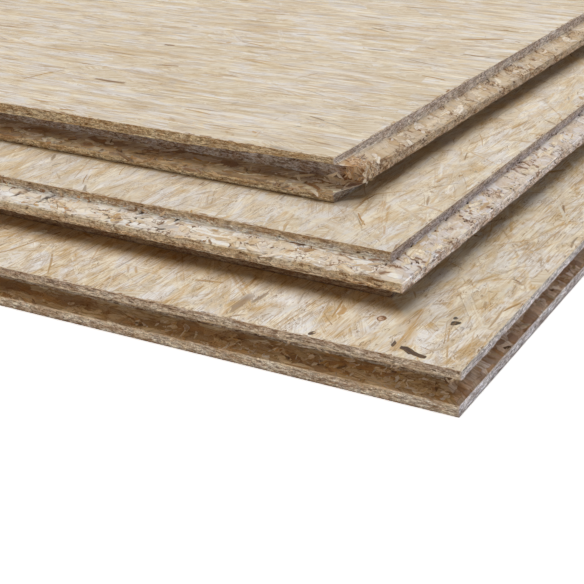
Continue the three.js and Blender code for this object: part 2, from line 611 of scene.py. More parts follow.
    def shape(self) -> Shape:
        """The body: the skin moved in and out by the tear, closed above and below by a sunk flat face."""
        plain, along, owner = self.skin()
        plain = self.rooted(plain, owner)
        kinds = np.array([side[0] is EdgeKind.GROOVE for side in self.panel.sides])[owner]
        normal = self.outward(plain)
        tear, pit = self.torn(plain, normal)
        pit = pit * np.where(kinds, 0.45, 1.0)
        thick = self.panel.profile.thickness
        height = plain[..., 2]
        near_face = np.minimum(height, thick - height)
        inside = ease(near_face, 0.2, 1.0)
        chip = np.maximum(rough_noise(plain / [3.2, 3.2, 9], self.seed + 11), 0) * 0.3 * ease(height, 1, 4)
        nose = ease(np.where(kinds, 0, self.panel.reach(EdgeKind.TONGUE, height)), 9.6, 10.8)
        nibble = (np.maximum(rough_noise(plain / [8, 8, 30], self.seed + 13), 0) * self.nibble
                  + np.maximum(rough_noise(plain / [2.6, 2.6, 3.2], self.seed + 15), 0) * 0.6) * nose
        move = inside * tear - 1.0 * pit * ease(near_face, 1.2, 2.6) - (1 - inside) * chip - nibble
        flat = ease(np.abs(normal[..., 2]), 0.25, 0.8)
        move = np.where(flat > 0.5, np.clip(move, -1.8, 0.3), np.clip(move - 0.05 + 0.35 * nose, -1.3, 0.35 * nose))
        points = plain + normal * move[..., None] * np.where(near_face[..., None] < 0.2, [1, 1, 0], [1, 1, 1.0])
        points[..., 2] = np.clip(points[..., 2], 0.05, thick - 0.05)
        rows, columns = points.shape[:2]
        rims = []
        for row, level in ((0, self.face_depth), (-1, thick - self.face_depth)):
            low, high = self.panel.face_corners(plain[row, 0, 2], self.inset)
            rims.append(np.append(np.clip(plain[row, :, :2], low, high), np.full((plain.shape[1], 1), level), 1))
        body = np.concatenate([rims[0][None], points, rims[1][None]], 0)
        total = rows + 2
        flat_height = body[..., 2]
        pad = ((1, 1), (0, 0))
        marks = np.stack([np.pad(pit * inside, pad), np.broadcast_to(kinds * 1.0, flat_height.shape),
                          np.pad(self.open_rims(height, kinds), pad), np.pad(1 - inside, pad, mode="edge")], -1)
        grain = np.stack([np.broadcast_to(along, flat_height.shape), flat_height], -1)
        tint = self.tints(body, owner, 1 - np.pad(flat, pad, mode="edge"), np.pad(nose, pad, mode="edge"))
        top = list(range((total - 1) * columns, total * columns))
        bottom = list(range(columns))[::-1]
        return Shape(self.panel.place(self.panel.worn_up(body)).reshape(-1, 3), grid_quads(total, columns, closed=True),
                     grain.reshape(-1, 2), tint.reshape(-1, 4), marks.reshape(-1, 4), [bottom, top])


# ---------------------------------------------------------------- strands and flakes


@dataclass(frozen=True)
class Tone:
    """A colour of wood and how often it turns up."""

    colour: Colour
    share: float


FACE_TONES = (
    Tone(shade(228, 220, 206), 0.36),
    Tone(shade(222, 211, 193), 0.24),
    Tone(shade(212, 195, 166), 0.12),
    Tone(shade(236, 232, 224), 0.18),
    Tone(shade(208, 188, 156), 0.04),
    Tone(shade(194, 187, 178), 0.06),
)
STRONG_TONES = (
    Tone(shade(236, 229, 217), 0.30),
    Tone(shade(224, 210, 186), 0.20),
    Tone(shade(212, 186, 144), 0.12),
    Tone(shade(246, 242, 234), 0.22),
    Tone(shade(198, 162, 106), 0.06),
    Tone(shade(192, 178, 158), 0.04),
    Tone(shade(168, 132, 86), 0.03),
)
NEEDLE_TONES = (
    Tone(shade(190, 154, 102), 0.42),
    Tone(shade(168, 132, 86), 0.22),
    Tone(shade(230, 224, 212), 0.18),
    Tone(shade(146, 116, 86), 0.12),
    Tone(shade(160, 142, 120), 0.06),
)
THREAD_TONES = (
    Tone(shade(206, 172, 116), 0.40),
    Tone(shade(188, 150, 96), 0.26),
    Tone(shade(216, 192, 152), 0.16),
    Tone(shade(242, 238, 230), 0.18),
)
NICK_TONES = (
    Tone(shade(150, 108, 66), 0.40),
    Tone(shade(118, 84, 54), 0.22),
    Tone(shade(188, 152, 108), 0.22),
    Tone(shade(226, 216, 200), 0.16),
)
TORN_TONES = (
    Tone(shade(230, 219, 203), 0.52),
    Tone(shade(222, 207, 188), 0.32),
    Tone(shade(212, 190, 160), 0.06),
    Tone(shade(184, 150, 110), 0.05),
    Tone(shade(200, 192, 184), 0.05),
)
RUST_TONES = (
    Tone(shade(190, 148, 102), 0.32),
    Tone(shade(160, 116, 76), 0.24),
    Tone(shade(226, 202, 170), 0.28),
    Tone(shade(116, 80, 52), 0.16),
)
# Chips in the grooves: brown and ochre wood, set darker as painted shade of the groove.
GROOVE_SHADE_CHIP_TONES = (
    Tone(shade(208, 186, 154), 0.40),
    Tone(shade(178, 138, 90), 0.26),
    Tone(shade(146, 104, 64), 0.16),
    Tone(shade(100, 74, 52), 0.18),
)
PALE_CHIP_TONES = (
    Tone(shade(240, 231, 217), 0.40),
    Tone(shade(230, 216, 196), 0.34),
    Tone(shade(210, 184, 150), 0.26),
)
# Dark flakes laid where the cut wood has crevices: torn brown wood, darkened as painted shade of the gaps.
CREVICE_SHADE_TONES = (
    Tone(shade(112, 78, 48), 0.6),
    Tone(shade(152, 110, 70), 0.4),
)


def pick_tones(tones: Sequence[Tone], count: int, rng: np.random.Generator) -> Array:
    """A colour for each strand, drawn by share, then made a little lighter or darker."""
    share = np.array([t.share for t in tones])
    chosen = rng.choice(len(tones), count, p=share / share.sum())
    colours = np.array([t.colour for t in tones])[chosen]
    return colours * rng.normal(1, 0.05, (count, 1)).clip(0.85, 1.12)


@dataclass
class Sheets:
    """Many thin pieces of wood, each a grid with its own frame, length, width, bend and colour."""

    centre: Array
    along: Array
    out: Array
    length: Array
    width: Array
    bend: Array
    colour: Array
    hold: Array
    rim: Array
    lot: Array
    blunt: Array
    seed: int

    def outline(self, stations: Array, ragged: float) -> tuple[Array, Array]:
        """Edges of each sheet by station.

        Half the width, times a taper that falls to nothing at both ends, times 1 plus noise of its own on
        each side. Bend moves the middle line sideways by the square of the distance from the middle.

        Args:
            stations: distances from the middle, from -1 to 1.
            ragged: strength of the noise.

        Returns:
            The left and right edges, sheets by stations.
        """
        count = len(self.length)
        ids = np.arange(count)[:, None] * 7.3
        t = np.broadcast_to(stations, (count, len(stations)))
        lean = ((scatter(np.arange(count)[:, None], self.seed)[:, None] - 0.5) * 2) ** 3 * 0.5
        sides = []
        for side in (-1, 1):
            skew = np.clip(t + side * lean * 0.5 * np.sign(t), -1, 1)
            taper = (1 - np.abs(skew) ** self.blunt[:, None]) ** 0.7
            wobble = 1 + ragged * soft_noise(np.stack([t * 3.1 + ids, t * 0 + side * 5.5], -1), self.seed + 3)
            sides.append(side * self.width[:, None] / 2 * taper * wobble + self.bend[:, None] * t**2)
        return sides[0], sides[1]

    def local(self, stations: Array, crossings: Array, ragged: float) -> tuple[Array, Array]:
        """Places along and across in each sheet's own frame, at stations by crossings of -1 to 1."""
        left, right = self.outline(stations, ragged)
        part = (crossings + 1) / 2
        across = left[..., None] * (1 - part) + right[..., None] * part
        slant = (scatter(np.arange(len(self.length))[:, None], self.seed + 1) - 0.5)[:, None, None] * 3.2
        slant = slant * (self.blunt[:, None, None] > 6)
        along = (self.length[:, None] / 2 * stations)[..., None] + slant * across * np.abs(stations)[:, None] ** 3
        return along, across

    def colours(self, shape: tuple[int, ...]) -> Array:
        """Each sheet's colour, with how firmly it holds at its rim, at every point."""
        layer = np.append(self.colour, self.hold[:, None], 1)
        return np.broadcast_to(layer[:, None, None], (*shape, 4)).copy()

    def shown(self, stations: Array, crossings: Array) -> Array:
        """What the finish reads at every point: rim strength, streak lot, place across and place along."""
        shape = (len(self.length), len(stations), len(crossings))
        values = (self.rim[:, None, None], self.lot[:, None, None], crossings[None, None] / 2 + 0.5,
                  stations[None, :, None] / 2 + 0.5)
        return np.stack([np.broadcast_to(v, shape) for v in values], -1)

    def carry(self, along: Array, across: Array, rise: Array) -> Array:
        """Local places turned into the panel's frame by each sheet's own axes."""
        side = np.cross(self.out, self.along)
        return (self.centre[:, None, None] + along[..., None] * self.along[:, None, None]
                + across[..., None] * side[:, None, None] + rise[..., None] * self.out[:, None, None])


def unfolded(quads: Array, flat: Array, facing: float) -> Array:
    """Only the faces that still look the way they should after their points were moved.

    Both halves of a face are judged by the sign of their area, the cross product of two of their sides.

    Args:
        quads: the faces.
        flat: the points' places in the plane.
        facing: 1 for faces that look up, -1 for faces that look down.

    Returns:
        The faces that are neither folded over nor flattened to nothing.
    """
    a, b, c, d = (flat[quads[:, i]] for i in range(4))
    halves = [((q - p)[:, 0] * (r - p)[:, 1] - (q - p)[:, 1] * (r - p)[:, 0]) * facing
              for p, q, r in ((a, b, c), (a, c, d), (b, c, d), (a, b, d))]
    return quads[(np.min(halves, axis=0) > -1e-9) & (np.max(halves, axis=0) > 1e-4)]


def sheet_quads(count: int, rows: int, columns: int) -> Array:
    """Faces of many equal grids, one after another."""
    one = grid_quads(rows, columns)[:, ::-1]
    return (one[None] + (np.arange(count) * rows * columns)[:, None, None]).reshape(-1, 4)


@dataclass(frozen=True)
class Fleck:
    """One listed mark on a face: place from the near corner, direction, size, colour and bend.

    Hold is how firmly its colour stands at its rim, and a round fleck is an oval, not a strand.
    """

    x: float
    y: float
    degrees: float
    length: float
    width: float
    colour: Colour
    bend: float = 0.0
    hold: float = 0.0
    round: bool = False


@dataclass(frozen=True)
class Zone:
    """A rectangle of a face, from its nearest to its farthest corner, and the size of its strands."""

    x0: float
    y0: float
    x1: float
    y1: float
    size: float = 1.0


@dataclass(frozen=True)
class SheetGrid:
    """Where a sheet's points lie along and across it, from -1 to 1, and how ragged its sides are."""

    stations: tuple[float, ...]
    crossings: tuple[float, ...] = (-1, -0.95, 0.95, 1)
    ragged: float = 0.3


@dataclass
class FaceStrands:
    """The strands that lie open on one face of a board, pressed flush and overlapping at random."""

    panel: Panel
    side: FaceSide
    zones: Sequence["Zone"]
    heading: float
    spread: float
    cover: float
    seed: int
    flecks: Sequence[Fleck] = ()
    mean_length: float = 64.0
    mean_width: float = 6.4
    free: float = 0.2
    needles: float = 1 / 130
    lines: float = 1 / 420
    wander: float = 34.0
    press: float = 0.16
    edge: float = 0.3
    nick_run: float = 620.0
    nick_rate: float = 0.30
    tones: Sequence[Tone] = FACE_TONES
    strand_grid: SheetGrid = SheetGrid((-1, -0.95, -0.5, 0, 0.5, 0.95, 1))
    needle_grid: SheetGrid = SheetGrid((-1, -0.8, 0, 0.8, 1))
    fleck_grid: SheetGrid = SheetGrid((-1, -0.93, -0.8, -0.5, -0.2, 0.2, 0.5, 0.8, 0.93, 1), ragged=0.16)

    def scatter_over(self, density: float, rng: np.random.Generator) -> tuple[Array, Array]:
        """Even random spots over the zones, so many to the square millimetre, and each spot's size."""
        spots, sizes = [np.zeros((0, 2))], [np.zeros(0)]
        for z in self.zones:
            count = int(density * (z.x1 - z.x0) * (z.y1 - z.y0) / z.size**2)
            spots.append(rng.uniform([z.x0, z.y0], [z.x1, z.y1], (count, 2)))
            sizes.append(np.full(count, z.size))
        order = rng.permutation(sum(map(len, spots)))
        return np.concatenate(spots)[order], np.concatenate(sizes)[order]

    def directions(self, count: int, rng: np.random.Generator) -> Array:
        """Most of them near the heading, and a few in any direction, in radians."""
        near = rng.normal(self.heading, self.spread, count)
        return np.radians(np.where(rng.random(count) < self.free, rng.uniform(0, 180, count), near))

    def sheets(self, spots: Array, angle: Array, **values: Array) -> Sheets:
        """Sheets that lie flat on the face at those spots and angles."""
        flat = np.zeros(len(spots))
        out = np.tile([0.0, 0.0, self.side.value], (len(spots), 1))
        return Sheets(np.append(spots, flat[:, None], 1), np.stack([np.cos(angle), np.sin(angle), flat], -1), out,
                      seed=self.seed, **values)

    def strands(self, rng: np.random.Generator) -> Sheets:
        """The strands themselves, enough of them to cover the face several times over."""
        spots, sizes = self.scatter_over(self.cover / (0.85 * self.mean_length * self.mean_width), rng)
        count = len(spots)
        length = rng.gamma(6, self.mean_length / 6, count).clip(16, 150) * sizes
        return self.sheets(
            spots, self.directions(count, rng), length=length,
            width=rng.gamma(2.4, self.mean_width / 2.4, count).clip(1.5, 20) * sizes,
            bend=rng.normal(0, 0.02, count) * length, colour=pick_tones(self.tones, count, rng),
            hold=rng.uniform(0, 0.34, count),
            rim=rng.random(count) ** 2, lot=rng.random(count), blunt=np.full(count, 14.0))

    def slivers(self, rng: np.random.Generator) -> Sheets:
        """Thin slivers and dark streaks over the strands."""
        spots, sizes = self.scatter_over(self.needles, rng)
        count = len(spots)
        length = rng.gamma(3, 5, count).clip(4, 60) * sizes
        return self.sheets(
            spots, self.directions(count, rng), length=length, width=rng.gamma(3, 0.4, count).clip(0.5, 3) * sizes,
            bend=rng.normal(0, 0.03, count) * length, colour=pick_tones(NEEDLE_TONES, count, rng),
            hold=rng.random(count) ** 3, rim=np.zeros(count), lot=np.zeros(count), blunt=np.full(count, 3.0))

    def threads(self, rng: np.random.Generator) -> Sheets:
        """Long thin golden lines, the bare rims of strands that lie under others."""
        spots, sizes = self.scatter_over(self.lines, rng)
        count = len(spots)
        length = rng.gamma(5, 9, count).clip(14, 95) * sizes
        angle = np.radians(self.heading + rng.normal(0, self.wander, count))
        return self.sheets(
            spots, angle, length=length, width=rng.gamma(3, 0.45, count).clip(0.5, 3.4) * sizes,
            bend=rng.normal(0, 0.015, count) * length, colour=pick_tones(THREAD_TONES, count, rng),
            hold=rng.uniform(0.0, 0.5, count), rim=np.zeros(count), lot=rng.random(count),
            blunt=np.full(count, 3.0))

    def nicks(self, rng: np.random.Generator) -> Sheets:
        """Rust-brown and pale nicks along the arrises of the two near sides, in groups."""
        thick = self.panel.profile.thickness
        low, _ = self.panel.face_corners(thick if self.side is FaceSide.UPPER else 0.0, 0.0)
        count = int(2 * self.nick_run * self.nick_rate)
        along = rng.uniform(0, self.nick_run, 4 * count)
        axis = rng.integers(0, 2, 4 * count)
        crowd = soft_noise(np.stack([along / 16, axis * 9.0], -1), self.seed + 5)
        keep = rng.random(4 * count) < 0.25 * (1 + 1.6 * crowd)
        along, axis = along[keep], axis[keep]
        count = len(along)
        inward = np.abs(rng.normal(0, 0.5, count)) + 0.35
        spots = np.where(axis[:, None] == 0, np.stack([along, low[1] + inward], -1),
                         np.stack([low[0] + inward, along], -1))
        length = rng.gamma(3, 1.1, count).clip(1.2, 9)
        return self.sheets(
            spots, axis * math.pi / 2 + rng.normal(0, 0.12, count), length=length,
            width=rng.gamma(4, 0.22, count).clip(0.4, 1.6), bend=rng.normal(0, 0.03, count) * length,
            colour=pick_tones(NICK_TONES, count, rng), hold=rng.uniform(0.3, 1, count), rim=np.zeros(count),
            lot=np.zeros(count), blunt=np.full(count, 4.0))

    def marks(self) -> Sheets:
        """The listed marks."""
        f = self.flecks

        def each(name: str) -> Array:
            """One value of every mark."""
            return np.array([getattr(mark, name) for mark in f], float)

        return self.sheets(
            np.stack([each("x"), each("y")], -1), np.radians(each("degrees")), length=each("length"),
            width=each("width"), bend=each("bend"), colour=each("colour"), hold=each("hold"),
            rim=np.zeros(len(f)), lot=np.zeros(len(f)), blunt=np.where(each("round"), 2.0, 12.0))

    def pressed(self, sheets: Sheets, grid: SheetGrid, low: float, high: float) -> Shape:
        """Sheets as shallow pieces whose rims dive under the face, each on its own level.

        Points past the board's edge are brought back to it.

        Args:
            sheets: the sheets, the lowest first.
            grid: their points.
            low, high: depths under the face of the first and the last.

        Returns:
            The sheets in the shared frame.
        """
        count = len(sheets.length)
        stations, crossings = np.array(grid.stations, float), np.array(grid.crossings, float)
        along, across = sheets.local(stations, crossings, grid.ragged)
        level = low + (high - low) * (np.arange(count) + 0.5) / max(count, 1)
        buried = np.zeros((len(stations), len(crossings)), bool)
        buried[[0, -1], :] = True
        buried[:, [0, -1]] = True
        thick = self.panel.profile.thickness
        points = sheets.carry(along, across, np.zeros_like(along))
        corners = self.panel.face_corners(thick if self.side is FaceSide.UPPER else 0.0, self.edge)
        points[..., :2] = np.clip(points[..., :2], *corners)
        offset = points - sheets.centre[:, None, None]
        along = (offset * sheets.along[:, None, None]).sum(-1)
        across = (offset * np.cross(sheets.out, sheets.along)[:, None, None]).sum(-1)
        depth = np.where(buried, self.press + 0.2, level[:, None, None])
        points[..., 2] = thick - depth if self.side is FaceSide.UPPER else depth
        shift = scatter(np.arange(count)[:, None], self.seed + 9)[:, None, None]
        grain = np.stack([along + 700 * shift, across + 90 * np.roll(shift, 1, 0)], -1)
        quads = sheet_quads(count, len(stations), len(crossings))
        quads = unfolded(quads, points[..., :2].reshape(-1, 2), self.side.value)
        return Shape(self.panel.place(points).reshape(-1, 3), quads,
                     grain.reshape(-1, 2), sheets.colours(along.shape).reshape(-1, 4),
                     sheets.shown(stations, crossings).reshape(-1, 4))

    def shape(self) -> Shape:
        """Strands below, slivers over them, and the marks on top."""
        rng = np.random.default_rng(self.seed)
        layers = [self.pressed(self.strands(rng), self.strand_grid, self.press, 0.06),
                  self.pressed(self.threads(rng), self.needle_grid, 0.058, 0.052),
                  self.pressed(self.slivers(rng), self.needle_grid, 0.05, 0.03)]
        if self.flecks:
            layers.append(self.pressed(self.nicks(rng), self.needle_grid, 0.03, 0.028))
            layers.append(self.pressed(self.marks(), self.fleck_grid, 0.028, 0.012))
        return Shape.joined(layers)


@dataclass(frozen=True)
class FlakeZone:
    """A stretch of a milled edge that carries torn flakes.

    Heights are above the board's back, as the profile has them. Lift is how far a flake's free end may
    stand off the cut.
    """

    side: int
    start: float
    end: float
    low: float
    high: float
    count: int
    tones: Sequence[Tone]
    length: float = 9.0
    width: float = 2.2
    tilt: float = 28.0
    lift: float = 0.5


@dataclass
class EdgeFlakes:
    """Flakes and splinters that the cutters left standing along a board's edges, each a closed thin chip."""

    panel: Panel
    zones: Sequence[FlakeZone]
    seed: int
    stations: tuple[float, ...] = (-1, -0.6, -0.15, 0.3, 0.7, 1)
    crossings: tuple[float, ...] = (-1, -0.8, 0.8, 1)

    def spots(self, zone: FlakeZone, rng: np.random.Generator) -> Sheets:
        """Draws one zone's flakes on the profile, each lying along the cut and turned by up to the tilt."""
        kind, start, way, run = self.panel.sides[zone.side]
        count = zone.count
        s = rng.uniform(zone.start, zone.end, count)
        height = rng.uniform(zone.low, zone.high, count)
        profile = self.panel.profile
        reach, above = profile.reach(kind, height), profile.reach(kind, height + 0.05)
        turn = -1.0 if self.panel.turned_over else 1.0
        steep = np.stack([np.full(count, 0.05), above - reach], -1)
        steep /= np.linalg.norm(steep, axis=-1, keepdims=True)
        out2 = np.array([way[1], -way[0]])
        real = profile.thickness - height if self.panel.turned_over else height
        centre = np.concatenate([start + way * s[:, None] + out2 * reach[:, None], real[:, None]], -1)
        normal = np.concatenate([out2 * steep[:, :1], -steep[:, 1:] * turn], -1)
        forward = np.tile([way[0], way[1], 0.0], (count, 1))
        side = np.cross(normal, forward)
        angle = np.radians(rng.normal(0, zone.tilt, count))
        along = forward * np.cos(angle)[:, None] + side * np.sin(angle)[:, None]
        length = rng.gamma(4, zone.length / 4, count).clip(2, 3.2 * zone.length)
        width = rng.gamma(4, zone.width / 4, count).clip(0.5, 3 * zone.width)
        length = np.where(np.abs(np.sin(angle)) > 0.5, np.minimum(length, 6), length)
        return Sheets(centre - normal * 0.04, along, normal, length, width, rng.normal(0, 0.05, count) * length,
                      pick_tones(zone.tones, count, rng), rng.uniform(0.5, 1, count), rng.random(count), rng.random(count),
                      np.full(count, 4.0), self.seed + zone.side)

    def shape(self) -> Shape:
        """Every zone's flakes: an upper and a lower sheet that share their rim, lifted at one end."""
        rng = np.random.default_rng(self.seed)
        stations, crossings = np.array(self.stations), np.array(self.crossings)
        shapes = []
        for zone in self.zones:
            sheets = self.spots(zone, rng)
            count = zone.count
            along, across = sheets.local(stations, crossings, 0.4)
            t = stations[None, :, None]
            lift = (rng.random(count) ** 4 * zone.lift)[:, None, None] * ease(t, 0.0, 1.0) * np.ones(len(crossings))
            roll = rng.normal(0, 0.03, count)[:, None, None] * across
            body = (rng.uniform(0.02, 0.07, count)[:, None, None] * (np.abs(crossings) < 1) * (1 - t**6))
            upper = sheets.carry(along, across, lift + roll + body)
            lower = sheets.carry(along, across, lift + roll - body)
            shift = rng.random(count)[:, None, None]
            grain = np.stack([along + 500 * shift, across + 60 * shift], -1)
            tint, marks = sheets.colours(along.shape), sheets.shown(stations, crossings)
            one = grid_quads(len(stations), len(crossings))
            rows, columns = len(stations), len(crossings)
            number = np.arange(rows * columns).reshape(rows, columns)
            below = number + rows * columns
            below[[0, -1], :] = number[[0, -1], :]
            below[:, [0, -1]] = number[:, [0, -1]]
            under = below.ravel()[one]
            pattern = np.concatenate([one[:, ::-1], under])
            quads = (pattern[None] + (np.arange(count) * 2 * rows * columns)[:, None, None]).reshape(-1, 4)
            both = np.stack([upper, lower], 1).reshape(-1, 3)

            def twice(values: Array) -> Array:
                """The same values for the upper and the lower sheet."""
                return np.stack([values, values], 1).reshape(-1, values.shape[-1])

            used, quads = np.unique(quads, return_inverse=True)
            shapes.append(Shape(self.panel.place(self.panel.worn_up(both))[used], quads.reshape(-1, 4), twice(grain)[used],
                                twice(tint)[used], twice(marks)[used]))
        return Shape.joined(shapes)


# ---------------------------------------------------------------- finishes


class Wiring:
    """A material's node tree, written as short calls that each add a node and give back its output."""

    def __init__(self, name: str) -> None:
        """An empty material of that name, with a Principled shader joined to its output."""
        self.material = bpy.data.materials.new(name)
        self.material.use_nodes = True
        self.tree = self.material.node_tree
        self.tree.nodes.clear()
        self.shader = self.tree.nodes.new("ShaderNodeBsdfPrincipled")
        self.output = self.tree.nodes.new("ShaderNodeOutputMaterial")
        self.tree.links.new(self.shader.outputs[0], self.output.inputs["Surface"])

    def put(self, socket: bpy.types.NodeSocket, value: object) -> None:
        """Joins a socket to an output, or sets its own value."""
        if isinstance(value, bpy.types.NodeSocket):
            self.tree.links.new(value, socket)
        elif value is not None:
            size = len(socket.default_value) if hasattr(socket.default_value, "__len__") else 0
            if size == 4 and len(value) == 3:
                value = (*value, 1)
            socket.default_value = value

    def node(self, kind: str, *values: object, **settings: object) -> bpy.types.Node:
        """A node with its settings, and its inputs filled in order."""
        made = self.tree.nodes.new("ShaderNode" + kind)
        for name, value in settings.items():
            setattr(made, name, value)
        for socket, value in zip(made.inputs, values):
            self.put(socket, value)
        return made

    def math(self, operation: str, *values: object) -> bpy.types.NodeSocket:
        """One step of arithmetic."""
        return self.node("Math", *values, operation=operation).outputs[0]

    def vector(self, operation: str, *values: object) -> bpy.types.NodeSocket:
        """One step of vector arithmetic."""
        made = self.node("VectorMath", *values, operation=operation)
        return made.outputs["Value" if operation in ("DOT_PRODUCT", "LENGTH") else "Vector"]

    def scaled(self, vector: object, factor: float) -> bpy.types.NodeSocket:
        """A vector times a number."""
        made = self.node("VectorMath", vector, operation="SCALE")
        made.inputs["Scale"].default_value = factor
        return made.outputs["Vector"]

    def band(self, value: object, low: float, high: float, start: float = 0.0,
             end: float = 1.0) -> bpy.types.NodeSocket:
        """A value carried smoothly from start to end as it goes from low to high."""
        made = self.node("MapRange", value, low, high, start, end, interpolation_type="SMOOTHSTEP")
        return made.outputs[0]

    def noise(self, vector: object, scale: float, detail: float = 2.0, rough: float = 0.5,
              twist: float = 0.0, dimensions: str = "3D") -> bpy.types.NodeSocket:
        """Noise at that many repeats to the unit."""
        made = self.node("TexNoise", noise_dimensions=dimensions)
        for name, value in (("Vector", vector), ("Scale", scale), ("Detail", detail), ("Roughness", rough),
                            ("Distortion", twist)):
            self.put(made.inputs[name], value)
        return made.outputs["Fac"]

    def cells(self, vector: object, feature: str, output: str) -> bpy.types.NodeSocket:
        """Cells of one to the unit, in two dimensions."""
        made = self.node("TexVoronoi", voronoi_dimensions="2D", feature=feature)
        self.put(made.inputs["Vector"], vector)
        self.put(made.inputs["Scale"], 1.0)
        return made.outputs[output]

    def ramp(self, value: object, stops: Sequence[tuple[float, Colour]]) -> bpy.types.NodeSocket:
        """A colour picked along a row of colours."""
        made = self.node("ValToRGB", value)
        row = made.color_ramp.elements
        while len(row) < len(stops):
            row.new(0.5)
        for element, (place, colour) in zip(row, stops):
            element.position, element.color = place, (*colour, 1)
        return made.outputs[0]

    def mix(self, share: object, first: object, second: object, blend: str = "MIX") -> bpy.types.NodeSocket:
        """Two colours mixed."""
        made = self.tree.nodes.new("ShaderNodeMix")
        made.data_type, made.blend_type = "RGBA", blend
        self.put(made.inputs[0], share)
        self.put(made.inputs[6], first)
        self.put(made.inputs[7], second)
        return made.outputs[2]

    def cast(self, colour: object, value: object, strength: float) -> bpy.types.NodeSocket:
        """Shifts a colour between cool and warm by a value from 0 to 1, at the same lightness."""
        cool, warm = ((1 - 0.75 * push, 1 - 0.05 * push, 1 + 2.1 * push, 1) for push in (strength, -strength))
        return self.mix(1.0, colour, self.mix(value, cool, warm), "MULTIPLY")

    def combine(self, x: object, y: object, z: object = 0.0) -> bpy.types.NodeSocket:
        """Three numbers as a vector."""
        return self.node("CombineXYZ", x, y, z).outputs[0]

    def split(self, vector: object) -> list[bpy.types.NodeSocket]:
        """A vector as three numbers."""
        return list(self.node("SeparateXYZ", vector).outputs)

    def layer(self, name: str) -> tuple[bpy.types.NodeSocket, list[bpy.types.NodeSocket]]:
        """A piece's own colour layer, whole and as red, green and blue, with its alpha last."""
        made = self.node("Attribute", attribute_name=name)
        parts = self.node("SeparateColor", made.outputs["Color"])
        return made.outputs["Color"], [*parts.outputs[:3], made.outputs["Alpha"]]

    def millimetres(self) -> bpy.types.NodeSocket:
        """Object coordinates in millimetres."""
        return self.scaled(self.node("TexCoord").outputs["Object"], METRE)

    def grain(self) -> bpy.types.NodeSocket:
        """The piece's own grain map in millimetres: along the fibre, then across it."""
        made = self.node("UVMap")
        made.uv_map = "grain"
        return self.scaled(made.outputs[0], METRE)

    def finish(self, colour: object, rough: object, relief: object, depth: float,
               specular: float = 0.35) -> bpy.types.Material:
        """Fills in the shader: colour, roughness, and a bump of that depth in millimetres."""
        bump = self.node("Bump")
        bump.inputs["Distance"].default_value = depth / METRE
        self.put(bump.inputs["Height"], relief)
        self.put(self.shader.inputs["Base Color"], colour)
        self.put(self.shader.inputs["Roughness"], rough)
        self.put(self.shader.inputs["Specular IOR Level"], specular)
        self.put(self.shader.inputs["Normal"], bump.outputs[0])
        return self.material


@dataclass(frozen=True)
class OverhangShadow:
    """Painted shadow on a board under the edge of the board above it.

    Corner and turn are the upper board's. Reach is how far the painted shadow runs out past each of its two
    near edges, in millimetres, and what is left of the wood's colour there is the tint.
    """

    corner: tuple[float, float]
    turn: float
    left_reach: float
    left_tint: Colour
    front_reach: float
    front_tint: Colour

    def over(self, w: "Wiring", place: object, colour: object) -> bpy.types.NodeSocket:
        """The colour with the painted shadow over it, by the distance from the upper board's two edges.

        It lies only on surfaces that look up, and runs out again some way in under the upper board.
        """
        turned = w.node("VectorRotate", rotation_type="Z_AXIS")
        w.put(turned.inputs["Vector"], place)
        w.put(turned.inputs["Center"], (*self.corner, 0))
        w.put(turned.inputs["Angle"], -self.turn)
        x, y, _ = w.split(w.vector("SUBTRACT", turned.outputs[0], (*self.corner, 0)))
        left = w.band(x, -self.left_reach, -0.35 * self.left_reach)
        front = w.band(y, -self.front_reach, -0.35 * self.front_reach)
        by_left = w.band(w.math("SUBTRACT", y, x), -2.0, 2.0)
        tint = w.mix(by_left, self.front_tint, self.left_tint)
        share = w.math("MULTIPLY", w.math("MULTIPLY", left, front), w.band(w.math("MINIMUM", x, y), 25, 70, 1.0, 0.0))
        share = w.math("MULTIPLY", share, w.band(w.split(w.node("NewGeometry").outputs["Normal"])[2], 0.0, 0.3))
        return w.mix(share, colour, tint, "MULTIPLY")


